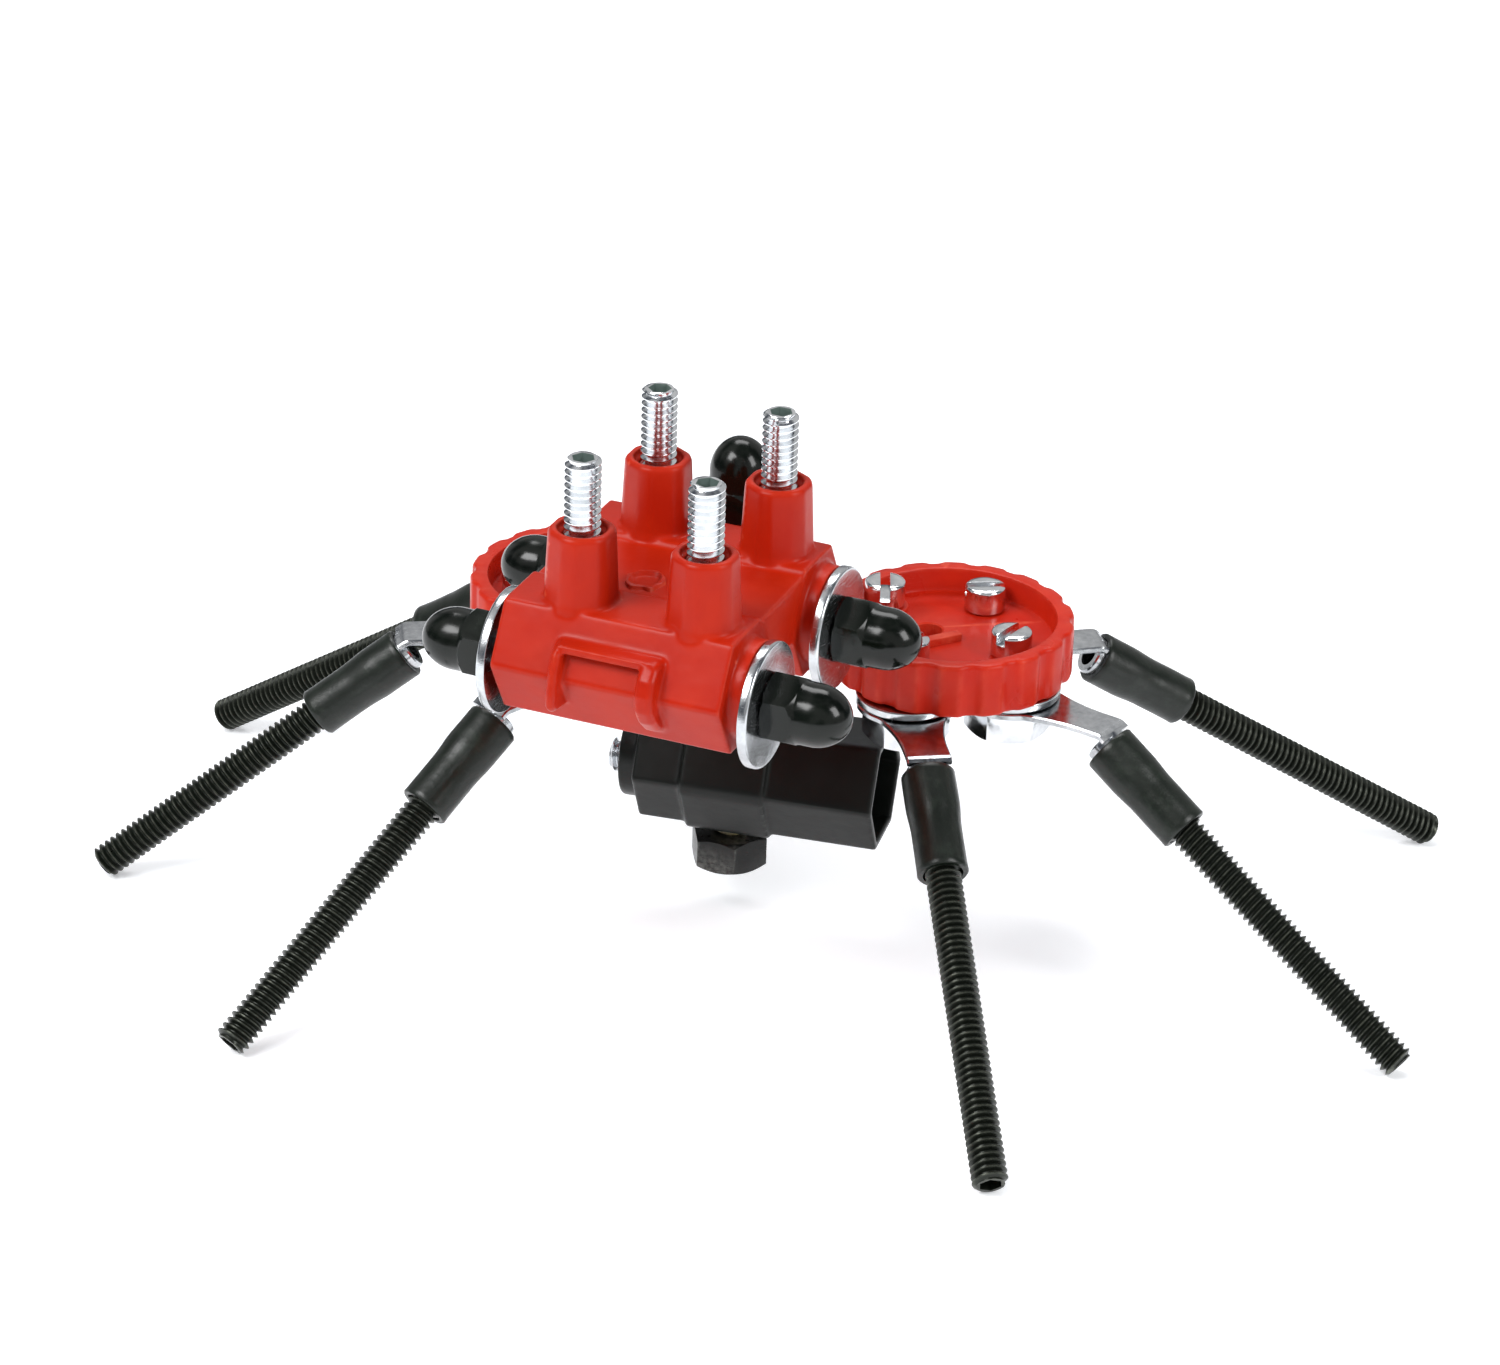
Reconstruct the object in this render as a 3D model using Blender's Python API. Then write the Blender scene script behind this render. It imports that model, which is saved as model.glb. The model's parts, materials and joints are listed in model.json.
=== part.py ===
"""Six-legged spider figure put together from clamp connectors, knobs, ring lugs and threaded studs.

The design frame has +X along the two axle rods of the red clamp block, +Y towards its back and +Z up,
with the block's middle above X = Y = 0. The finished model is moved so that the middle of its
footprint is the origin. All sizes are in metres.
"""
import math

import bmesh
import bpy
from mathutils import Matrix, Vector

GAP = 0.0003
THREAD_R = 0.00317
HOLE_R = THREAD_R + GAP

# Red clamp block: two hexagonal tubes side by side, four screw towers on top.
HEX_FLATS = 0.0206
HEX_WALL = 0.0014
TUBE_LEFT_X = -0.023
TUBE_RIGHT_X = 0.0193
TUBE_Z = 0.0748
TUBE_PITCH = 0.0322
NECK_R = 0.0085
NECK_BORE_R = 0.0061
NECK_END_X = 0.0219
WEB_HEIGHT = 0.011
WEB_DROP = 0.001
TOWER_PITCH = 0.0226
TOWER_TOP_Z = 0.0983
TOWER_TOP_R = 0.00585
TOWER_FOOT_R = 0.0064
TOWER_BORE_R = 0.0043
TOWER_BORE_DEPTH = 0.002
TOWER_FLAT = 0.95
HOOD_LEFT_X = -0.0114
HOOD_RIGHT_X = 0.0081
HOOD_TOP = 0.0064
HOOD_PLATE_REACH = 0.0115
HOOD_PLATE_T = 0.0014
THIN_EAR = 0.0018
WIDE_EAR = 0.0034
THIN_EAR_OUTLINE = [(0.0, 0.0064), (0.0105, 0.0064), (0.0125, 0.0052), (0.0140, 0.0020), (0.0149, -0.0018),
                    (0.0150, -0.0042), (0.0138, -0.0053), (0.0110, -0.0056), (0.0, -0.0056)]
WIDE_EAR_OUTLINE = [(0.0, 0.0064), (0.0100, 0.0064), (0.0118, 0.0060), (0.0136, 0.0042), (0.0147, 0.0014),
                    (0.0144, -0.0014), (0.0128, -0.0042), (0.0102, -0.0066), (0.0078, -0.0078), (0.0, -0.0078)]

# Axle rods with washers and cap nuts, and the grub screws that clamp them.
AXLE_DROP = 0.0026
LEFT_WASHER_GAP = 0.0013
WASHER_R = 0.0111
WASHER_T = 0.0017
CAP_FLATS = 0.0114
CAP_HEX_LENGTH = 0.0057
CAP_DOME_R = 0.0055
CAP_LENGTH = 0.0144
CAP_BORE_DEPTH = 0.0086
AXLE_ENGAGEMENT = 0.008
GRUB_TOP_Z = 0.111
GRUB_SOCKET_FLATS = 0.0036
GRUB_SOCKET_DEPTH = 0.003

# Scalloped discs with the screws that carry the legs.
DISC_TOP_Z = 0.0605
DISC_THICKNESS = 0.010
DISC_PEAK_R = 0.0220
DISC_NOTCH_R = 0.0213
DISC_RIM_R = 0.0188
DISC_RECESS = 0.0045
DISC_SCALLOPS = 18
DISC_HOLE_R = 0.0025
DISC_HOLE_OFFSET = 0.0048
BOSS_R = 0.0044
BOSS_HEIGHT = 0.0024
SCREW_CIRCLE_R = 0.0133
SCREW_HEAD_R = 0.0037
SCREW_HEAD_HEIGHT = 0.0046
SCREW_SLOT = 0.0015
SCREW_SLOT_DEPTH = 0.0019
ANCHOR_SLOT_DEPTH = 0.0028
HIP_WASHER_R = 0.0093
HIP_WASHER_T = 0.0015
HIP_NUT_FLATS = 0.0136
HIP_NUT_HEIGHT = 0.0055
HIP_NUT_TURN = math.radians(22)
LEFT_DISC = (-0.0333, 0.0397)
RIGHT_DISC = (0.0301, 0.0531)
RIM_SHIFT = {"left": (-0.0008, 0.0003), "right": (0.0009, 0.0)}
LEFT_PATTERN = math.radians(-75)
RIGHT_PATTERN = math.radians(-10)

# Legs: ring lug, sleeve and threaded stud. Each line is disc, screw angle, heading and free length.
LUG_T = 0.0012
LUG_EYE_R = 0.0091
LUG_NECK_HALF = 0.0040
LUG_TAPER = 0.011
LUG_BEND_R = 0.002
BARREL_R = 0.0037
BARREL_BORE_R = 0.0023
BARREL_SHOULDER = 0.00015
BARREL_LENGTH = 0.0085
BARREL_BARE = 0.0014
SLEEVE_TOP_R = 0.0048
SLEEVE_FOOT_R = 0.0045
SLEEVE_LENGTH = 0.0201
ELBOW_REACH = 0.0163
ELBOW_TO_SLEEVE = 0.0062
STUD_HIDDEN = 0.0095
STUD_CHAMFER = 0.0006
LEGS = {
    "front_left": ("left", LEFT_PATTERN, -113, 0.0545),
    "middle_left": ("left", LEFT_PATTERN - math.pi / 2, -151, 0.0498),
    "rear_left": ("left", LEFT_PATTERN + math.pi, 174, 0.056),
    "front_right": ("right", RIGHT_PATTERN - math.pi / 2, -58.5, 0.0600),
    "middle_right": ("right", RIGHT_PATTERN, -13, 0.056),
    "rear_right": ("right", RIGHT_PATTERN + math.pi / 2, 35.2, 0.0602),
}

# Centre bolt with the bridge plate, the pillar behind the block and the black connector.
BOLT_XY = (-0.0056, 0.040)
BOLT_HEAD_Z = 0.0083
BOLT_HEAD_HEIGHT = 0.0062
BOLT_HEAD_FLATS = 0.0128
PLATE_EYE_R = 0.0078
PLATE_ARM = 0.011
PILLAR_R = 0.005
PILLAR_TOP_Z = 0.0784
CONNECTOR_Z = 0.028
CONNECTOR_YAW = math.radians(7.5)
CONNECTOR_LEFT = -0.0158
CONNECTOR_RIGHT = 0.0290
CONNECTOR_NECK = 0.0035
COLLAR_X = 0.0012
COLLAR_HALF = 0.0078
COLLAR_EXTRA = 0.0007
STUB_REACH = 0.0033
STUB_DROP = 0.0016
STUB_LENGTH = 0.012

WASHER_TOP_Z = DISC_TOP_Z - DISC_THICKNESS - GAP
LUG_Z = WASHER_TOP_Z - HIP_WASHER_T - GAP - LUG_T / 2
AXLE_Z = TUBE_Z - AXLE_DROP
FACETS = 18


def clear_scene():
    for old in list(bpy.data.objects):
        bpy.data.objects.remove(old, do_unlink=True)


def make_material(name, color, roughness, metallic):
    material = bpy.data.materials.new(name)
    material.use_nodes = True
    shader = material.node_tree.nodes["Principled BSDF"]
    shader.inputs["Base Color"].default_value = (*color, 1.0)
    shader.inputs["Roughness"].default_value = roughness
    shader.inputs["Metallic"].default_value = metallic
    return material


def make_materials():
    return {
        "red_plastic": make_material("red_plastic", (0.55, 0.025, 0.012), 0.4, 0.0),
        "black_plastic": make_material("black_plastic", (0.012, 0.014, 0.012), 0.35, 0.0),
        "black_rubber": make_material("black_rubber", (0.015, 0.017, 0.015), 0.55, 0.0),
        "black_oxide": make_material("black_oxide", (0.03, 0.03, 0.028), 0.4, 0.7),
        "zinc": make_material("zinc", (0.75, 0.77, 0.78), 0.25, 1.0),
    }


def add_object(name, bm, material=None, parent=None, location=(0, 0, 0)):
    """Turn a bmesh into a named object, placed in its parent's frame."""
    bmesh.ops.recalc_face_normals(bm, faces=bm.faces)
    mesh = bpy.data.meshes.new(name)
    bm.to_mesh(mesh)
    bm.free()
    mesh.shade_smooth()
    mesh.set_sharp_from_angle(angle=math.radians(35))
    if material:
        mesh.materials.append(material)
    obj = bpy.data.objects.new(name, mesh)
    bpy.context.scene.collection.objects.link(obj)
    obj.parent = parent
    obj.location = location
    return obj


def add_empty(name, location, parent=None, yaw=0.0):
    empty = bpy.data.objects.new(name, None)
    bpy.context.scene.collection.objects.link(empty)
    empty.parent = parent
    empty.location = location
    empty.rotation_euler.z = yaw
    return empty


def combine(target, operation, name, bm):
    """Add or cut the bmesh's shape on the target with a Boolean modifier."""
    tool = add_object(name, bm, parent=target.parent)
    tool.hide_render = True
    tool.display_type = "WIRE"
    modifier = target.modifiers.new(name, "BOOLEAN")
    modifier.operation = operation
    modifier.object = tool


def polygon(count, radius, phase=0.0):
    """Corners of a regular polygon."""
    step = 2 * math.pi / count
    return [(radius * math.cos(phase + i * step), radius * math.sin(phase + i * step)) for i in range(count)]


def hexagon_ring(flats, count=FACETS):
    """Points round a hexagon at even angles, so that it can be lofted to a circle."""
    ring = []
    for i in range(count):
        angle = 2 * math.pi * i / count
        radius = flats / 2 / math.cos((angle % (math.pi / 3)) - math.pi / 6)
        ring.append((radius * math.cos(angle), radius * math.sin(angle)))
    return ring


def soft_hexagon(radius, center, count=FACETS):
    """A circle with six flats, the first facing +X."""
    ring = []
    for i in range(count):
        angle = 2 * math.pi * i / count
        across = (angle + math.pi / 6) % (math.pi / 3) - math.pi / 6
        reach = min(radius, TOWER_FLAT * radius / math.cos(across))
        ring.append((center[0] + reach * math.cos(angle), center[1] + reach * math.sin(angle)))
    return ring


def loft(sections, closed=False):
    """Skin through rings of (outline, height). A closed loft joins its last ring to its first."""
    bm = bmesh.new()
    rings = [[bm.verts.new((x, y, z)) for x, y in outline] for outline, z in sections]
    pairs = list(zip(rings, rings[1:]))
    if closed:
        pairs.append((rings[-1], rings[0]))
    else:
        bm.faces.new(rings[0])
        bm.faces.new(rings[-1])
    for low, high in pairs:
        for i in range(len(low)):
            j = (i + 1) % len(low)
            bm.faces.new((low[i], low[j], high[j], high[i]))
    return bm


def turn(bm, axis, center=(0, 0, 0)):
    """Turn a bmesh built along Z so that it runs along the axis, with its foot at the center."""
    rotation = Vector((0, 0, 1)).rotation_difference(Vector(axis)).to_matrix().to_4x4()
    bmesh.ops.transform(bm, matrix=Matrix.Translation(center) @ rotation, verts=bm.verts)
    return bm


def merge(*parts):
    """Several bmeshes as one, for a tool that cuts or adds them together."""
    whole = bmesh.new()
    for part in parts:
        mesh = bpy.data.meshes.new("merge")
        part.to_mesh(mesh)
        part.free()
        whole.from_mesh(mesh)
        bpy.data.meshes.remove(mesh)
    return whole


def cylinder(radius, low, high, center=(0, 0), count=FACETS):
    ring = [(center[0] + x, center[1] + y) for x, y in polygon(count, radius)]
    return loft([(ring, low), (ring, high)])


def box(low, high):
    bm = bmesh.new()
    bmesh.ops.create_cube(bm, size=1.0)
    size = [b - a for a, b in zip(low, high)]
    middle = [(a + b) / 2 for a, b in zip(low, high)]
    matrix = Matrix.Translation(middle) @ Matrix.Diagonal((*size, 1.0))
    bmesh.ops.transform(bm, matrix=matrix, verts=bm.verts)
    return bm


def ring_solid(outline, bore_r, low, high):
    """A plate or tube of the given outline with a round bore."""
    bore = polygon(len(outline), bore_r)
    return loft([(outline, low), (outline, high), (bore, high), (bore, low)], closed=True)


def hex_bar(flats, left, right, y, z):
    """A hexagonal bar along X with flats on top and bottom."""
    bar = loft([(polygon(6, flats / math.sqrt(3), math.pi / 6 + math.pi / 6), left),
                (polygon(6, flats / math.sqrt(3), math.pi / 6 + math.pi / 6), right)])
    quarter = Matrix.Rotation(math.pi / 2, 4, "Z")
    upright = Matrix.Rotation(math.pi / 2, 4, "Y")
    bmesh.ops.transform(bar, matrix=Matrix.Translation((0, y, z)) @ upright @ quarter, verts=bar.verts)
    return bar


def rod_bar(radius, left, right, y, z, count=FACETS):
    return turn(cylinder(radius, left, right, count=count), (1, 0, 0), (0, y, z))


def screw_positions(center, pattern):
    """The four screws of a disc, a quarter turn apart."""
    spots = []
    for i in range(4):
        angle = pattern + i * math.pi / 2
        spots.append((center[0] + SCREW_CIRCLE_R * math.cos(angle), center[1] + SCREW_CIRCLE_R * math.sin(angle)))
    return spots


def tower_spots():
    return [(sx * TOWER_PITCH / 2, sy * TUBE_PITCH / 2) for sy in (-1, 1) for sx in (-1, 1)]


def hood(side):
    """A thin ear, a wide ear and the plate that joins their tops, on the front or back face."""
    y0 = side * TUBE_PITCH / 2
    shapes = []
    for outline, x, width in ((THIN_EAR_OUTLINE, HOOD_LEFT_X, THIN_EAR),
                              (WIDE_EAR_OUTLINE, HOOD_RIGHT_X - WIDE_EAR, WIDE_EAR)):
        ear = loft([(outline, x), (outline, x + width)])
        for vert in ear.verts:
            reach, rise, along = vert.co
            vert.co = (along, y0 + side * reach, TUBE_Z + rise)
        shapes.append(ear)
    ends = (y0 + side * 0.004, y0 + side * HOOD_PLATE_REACH)
    shapes.append(box((HOOD_LEFT_X + THIN_EAR / 2, min(ends), TUBE_Z + HOOD_TOP - HOOD_PLATE_T),
                      (HOOD_RIGHT_X - WIDE_EAR / 2, max(ends), TUBE_Z + HOOD_TOP - 0.0001)))
    return shapes


def build_block(materials, pivot):
    """Red block: twin hexagonal tubes, web, necks, towers, hoods and the pillar behind it."""
    center = Vector((*BOLT_XY, 0))
    rows = (-TUBE_PITCH / 2, TUBE_PITCH / 2)
    top_z = TUBE_Z + HEX_FLATS / 2
    block = add_object("body_block", hex_bar(HEX_FLATS, TUBE_LEFT_X, TUBE_RIGHT_X, rows[0], TUBE_Z),
                       materials["red_plastic"])
    combine(block, "UNION", "rear_tube", hex_bar(HEX_FLATS, TUBE_LEFT_X, TUBE_RIGHT_X, rows[1], TUBE_Z))
    web_top = top_z - WEB_DROP
    combine(block, "UNION", "web",
            box((TUBE_LEFT_X + 0.0002, rows[0], web_top - WEB_HEIGHT), (TUBE_RIGHT_X - 0.0002, rows[1], web_top)))
    for row, y in enumerate(rows):
        combine(block, "UNION", f"neck_{row}", rod_bar(NECK_R, TUBE_RIGHT_X - 0.001, NECK_END_X, y, TUBE_Z))
    for index, (x, y) in enumerate(tower_spots()):
        foot = soft_hexagon(TOWER_FOOT_R, (x, y))
        top = soft_hexagon(TOWER_TOP_R, (x, y))
        lip = soft_hexagon(TOWER_TOP_R - 0.0007, (x, y))
        tower = loft([(foot, top_z - 0.003), (top, TOWER_TOP_Z - 0.0007), (lip, TOWER_TOP_Z)])
        combine(block, "UNION", f"tower_{index}", tower)
    for row, side in enumerate((-1, 1)):
        for index, shape in enumerate(hood(side)):
            combine(block, "UNION", f"hood_{row}_{index}", shape)
    combine(block, "UNION", "pillar", cylinder(PILLAR_R, WASHER_TOP_Z + GAP, PILLAR_TOP_Z, BOLT_XY))
    arm_half = PILLAR_R * 0.7
    combine(block, "UNION", "pillar_arm",
            box((BOLT_XY[0] - arm_half, rows[1], TUBE_Z - 0.0055),
                (BOLT_XY[0] + arm_half, BOLT_XY[1], TUBE_Z + 0.0029)))
    for row, y in enumerate(rows):
        combine(block, "DIFFERENCE", f"cavity_{row}",
                hex_bar(HEX_FLATS - 2 * HEX_WALL, TUBE_LEFT_X - 0.001, TUBE_RIGHT_X - 0.002, y, TUBE_Z))
        combine(block, "DIFFERENCE", f"neck_bore_{row}",
                rod_bar(NECK_BORE_R, TUBE_RIGHT_X - 0.003, NECK_END_X + 0.001, y, TUBE_Z))
    for index, (x, y) in enumerate(tower_spots()):
        narrow = [(x + a, y + b) for a, b in polygon(FACETS, HOLE_R)]
        wide = [(x + a, y + b) for a, b in polygon(FACETS, TOWER_BORE_R)]
        step_z = TOWER_TOP_Z - TOWER_BORE_DEPTH
        bore = loft([(narrow, TUBE_Z + 0.004), (narrow, step_z), (wide, step_z), (wide, TOWER_TOP_Z + 0.001)])
        combine(block, "DIFFERENCE", f"tower_bore_{index}", bore)
    combine(block, "DIFFERENCE", "pillar_bore", cylinder(HOLE_R, 0.04, 0.09, BOLT_XY))
    tools = [m.object for m in block.modifiers]
    for obj in [block] + tools:
        obj.data.transform(Matrix.Translation(-center))
        obj.parent = pivot
    return block


def grub_mesh(length):
    """Socket set screw standing on its tip."""
    full = polygon(FACETS, THREAD_R)
    small = polygon(FACETS, THREAD_R - STUD_CHAMFER)
    socket = hexagon_ring(GRUB_SOCKET_FLATS)
    return loft([(small, 0), (full, STUD_CHAMFER), (full, length - STUD_CHAMFER), (small, length),
                 (socket, length), (socket, length - GRUB_SOCKET_DEPTH)])


def build_grub_screws(materials, pivot):
    """The set screws stand on the axle rods."""
    foot_z = AXLE_Z + THREAD_R + 0.0005
    names = ("front_left", "front_right", "rear_left", "rear_right")
    for name, (x, y) in zip(names, tower_spots()):
        add_object(f"grub_screw_{name}", grub_mesh(GRUB_TOP_Z - foot_z), materials["zinc"], pivot,
                   (x - BOLT_XY[0], y - BOLT_XY[1], foot_z))


def cap_nut_mesh():
    """Hexagonal base with a bullet-shaped dome, bored from below."""
    hexagon = hexagon_ring(CAP_FLATS)
    sections = [(hexagon, 0), (hexagon, CAP_HEX_LENGTH - 0.0006)]
    straight = CAP_HEX_LENGTH + 0.0022
    sections.append((polygon(FACETS, CAP_DOME_R), CAP_HEX_LENGTH))
    sections.append((polygon(FACETS, CAP_DOME_R), straight))
    for step in range(1, 6):
        angle = step * math.pi / 2 / 5.4
        sections.append((polygon(FACETS, CAP_DOME_R * math.cos(angle)),
                         straight + (CAP_LENGTH - straight) * math.sin(angle)))
    sections.append((polygon(FACETS, CAP_DOME_R * 0.06), CAP_LENGTH))
    bore = polygon(FACETS, HOLE_R)
    outside = loft(sections)
    foot_face = next(face for face in outside.faces if all(abs(v.co.z) < 1e-9 for v in face.verts))
    bmesh.ops.delete(outside, geom=[foot_face], context="FACES_ONLY")
    outer = [v for v in outside.verts if abs(v.co.z) < 1e-9]
    low = [outside.verts.new((x, y, 0)) for x, y in bore]
    deep = [outside.verts.new((x, y, CAP_BORE_DEPTH)) for x, y in bore]
    outside.faces.new(deep)
    for i in range(FACETS):
        j = (i + 1) % FACETS
        outside.faces.new((outer[i], outer[j], low[j], low[i]))
        outside.faces.new((low[i], low[j], deep[j], deep[i]))
    return outside


def build_axles(materials, block_pivot):
    """Each axle rod turns with the washers and cap nuts on its ends."""
    washer_faces = {"left": TUBE_LEFT_X - LEFT_WASHER_GAP, "right": NECK_END_X + GAP}
    for row, y in (("front", -TUBE_PITCH / 2), ("rear", TUBE_PITCH / 2)):
        pivot = add_empty(f"{row}_axle", (-BOLT_XY[0], y - BOLT_XY[1], AXLE_Z), block_pivot)
        ends = []
        for side, sign in (("left", -1), ("right", 1)):
            face = washer_faces[side]
            washer = turn(ring_solid(polygon(FACETS, WASHER_R), HOLE_R, 0, WASHER_T), (sign, 0, 0), (face, 0, 0))
            add_object(f"{row}_washer_{side}", washer, materials["zinc"], pivot)
            foot = face + sign * (WASHER_T + GAP)
            cap = turn(cap_nut_mesh(), (sign, 0, 0), (foot, 0, 0))
            add_object(f"{row}_cap_nut_{side}", cap, materials["black_plastic"], pivot)
            ends.append(foot + sign * AXLE_ENGAGEMENT)
        rod = turn(chamfered_rod(ends[1] - ends[0]), (1, 0, 0), (ends[0], 0, 0))
        add_object(f"{row}_axle_rod", rod, materials["zinc"], pivot)


def chamfered_rod(length):
    full = polygon(FACETS, THREAD_R)
    small = polygon(FACETS, THREAD_R - STUD_CHAMFER)
    return loft([(small, 0), (full, STUD_CHAMFER), (full, length - STUD_CHAMFER), (small, length)])


def scalloped(count, peak, notch, per_lobe=4):
    """Outline of rounded lobes that meet in sharp notches."""
    ring = []
    for i in range(count * per_lobe):
        across = 2 * (i % per_lobe) / per_lobe - 1
        radius = peak - (peak - notch) * across * across
        angle = 2 * math.pi * i / (count * per_lobe)
        ring.append((radius * math.cos(angle), radius * math.sin(angle)))
    return ring


def build_disc(side, center, pattern, materials, parent):
    """Scalloped disc on a swivel about its inner screw, with that screw."""
    spots = screw_positions(center, pattern)
    anchor = min(spots, key=lambda spot: math.dist(spot, BOLT_XY))
    pivot = add_empty(f"{side}_disc_swivel", (*anchor, 0), parent)
    outline = scalloped(DISC_SCALLOPS, DISC_PEAK_R, DISC_NOTCH_R)
    count = len(outline)
    bottom_z = DISC_TOP_Z - DISC_THICKNESS
    floor_z = DISC_TOP_Z - DISC_RECESS
    shift = RIM_SHIFT[side]
    offset = Vector((center[0] + shift[0] - anchor[0], center[1] + shift[1] - anchor[1], 0))
    hole = offset - offset.normalized() * DISC_HOLE_OFFSET
    body = loft([(outline, bottom_z), (outline, DISC_TOP_Z), (polygon(count, DISC_RIM_R), DISC_TOP_Z),
                 (polygon(count, DISC_RIM_R - 0.0003), floor_z)])
    bmesh.ops.translate(body, vec=offset, verts=body.verts)
    disc = add_object(f"{side}_disc", body, materials["red_plastic"], pivot)
    holes = [cylinder(HOLE_R, bottom_z - 0.001, DISC_TOP_Z, (x - anchor[0], y - anchor[1])) for x, y in spots]
    holes.append(cylinder(DISC_HOLE_R, bottom_z - 0.001, DISC_TOP_Z, hole[:2]))
    combine(disc, "UNION", f"{side}_disc_boss", cylinder(BOSS_R, floor_z - 0.001, floor_z + BOSS_HEIGHT))
    combine(disc, "DIFFERENCE", f"{side}_disc_holes", merge(*holes))
    add_slotted_screw(f"{side}_anchor_screw", floor_z + BOSS_HEIGHT, LUG_Z - LUG_T, materials, parent,
                      (*anchor, 0), ANCHOR_SLOT_DEPTH)
    return pivot, anchor


def add_slotted_screw(name, seat_z, end_z, materials, parent, location, slot_depth=SCREW_SLOT_DEPTH):
    """Slotted cylinder-head screw whose head stands on the disc."""
    foot = seat_z + GAP
    top = foot + SCREW_HEAD_HEIGHT
    head = polygon(FACETS, SCREW_HEAD_R)
    crown = polygon(FACETS, SCREW_HEAD_R - 0.0007)
    shank = polygon(FACETS, THREAD_R)
    profile = [(shank, end_z), (shank, foot), (head, foot), (head, top - 0.0006), (crown, top)]
    screw = add_object(name, loft(profile), materials["zinc"], parent, location)
    reach = SCREW_HEAD_R + 0.001
    slot = box((-reach, -SCREW_SLOT / 2, top - slot_depth), (reach, SCREW_SLOT / 2, top + 0.001))
    bmesh.ops.translate(slot, vec=location, verts=slot.verts)
    combine(screw, "DIFFERENCE", f"{name}_slot", slot)


def leg_pitch(free_length):
    """How steeply a leg falls for its foot to meet the ground."""
    pitch = math.radians(34)
    for _ in range(20):
        drop = LUG_Z - (THREAD_R - STUD_CHAMFER) * math.cos(pitch)
        pitch = math.asin(drop / (ELBOW_TO_SLEEVE + SLEEVE_LENGTH + free_length))
    return pitch


def lug_half_width(x):
    """Half the width of the lug's flat plate, from the eye to the neck."""
    eye_end = LUG_EYE_R * math.cos(math.radians(42))
    if x <= eye_end:
        return math.sqrt(max(LUG_EYE_R ** 2 - x * x, 0.0002 ** 2))
    start = LUG_EYE_R * math.sin(math.radians(42))
    along = min((x - eye_end) / LUG_TAPER, 1.0)
    return LUG_NECK_HALF + (start - LUG_NECK_HALF) * (1 - along) ** 2


def lug_mesh(pitch):
    """Flat eye whose neck bends down and runs into the top wall of the crimp barrel."""
    offset = BARREL_R - LUG_T / 2 - BARREL_SHOULDER
    corner = ELBOW_REACH + offset / math.sin(pitch)
    tangent = LUG_BEND_R * math.tan(pitch / 2)
    flat_end = corner - tangent
    run = ELBOW_TO_SLEEVE - 0.0005 - offset / math.tan(pitch) - tangent
    eye_steps = [-LUG_EYE_R * math.cos(math.radians(a)) for a in range(0, 139, 15)]
    neck_steps = [0.0077, 0.0092, 0.011, 0.0132, 0.0158, flat_end]
    stations = [(x, x, 0.0, 0.0) for x in eye_steps + neck_steps]
    for step in (1, 2, 3):
        turn_angle = pitch * step / 3
        x = flat_end + LUG_BEND_R * math.sin(turn_angle)
        stations.append((0.02, x, -LUG_BEND_R * (1 - math.cos(turn_angle)), turn_angle))
    x, z = stations[-1][1:3]
    stations.append((0.02, x + run * math.cos(pitch), z - run * math.sin(pitch), pitch))
    bm = bmesh.new()
    rings = []
    for width_x, x, z, angle in stations:
        half = lug_half_width(width_x)
        up = Vector((math.sin(angle), 0, math.cos(angle))) * LUG_T / 2
        spine = Vector((x, 0, z))
        side = Vector((0, half, 0))
        rings.append([bm.verts.new(spine + a * side + b * up) for a, b in ((-1, -1), (1, -1), (1, 1), (-1, 1))])
    bm.faces.new(rings[0])
    bm.faces.new(rings[-1])
    for low, high in zip(rings, rings[1:]):
        for i in range(4):
            bm.faces.new((low[i], low[(i + 1) % 4], high[(i + 1) % 4], high[i]))
    return bm


def along_leg(bm, pitch, distance):
    """Move a bmesh built along Z onto the leg's falling axis, with its foot at the given distance."""
    axis = Vector((math.cos(pitch), 0, -math.sin(pitch)))
    start = Vector((ELBOW_REACH, 0, LUG_Z)) + axis * distance
    tilt = Matrix.Rotation(math.pi / 2 + pitch, 4, "Y")
    bmesh.ops.transform(bm, matrix=Matrix.Translation(start) @ tilt, verts=bm.verts)
    return bm


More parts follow.
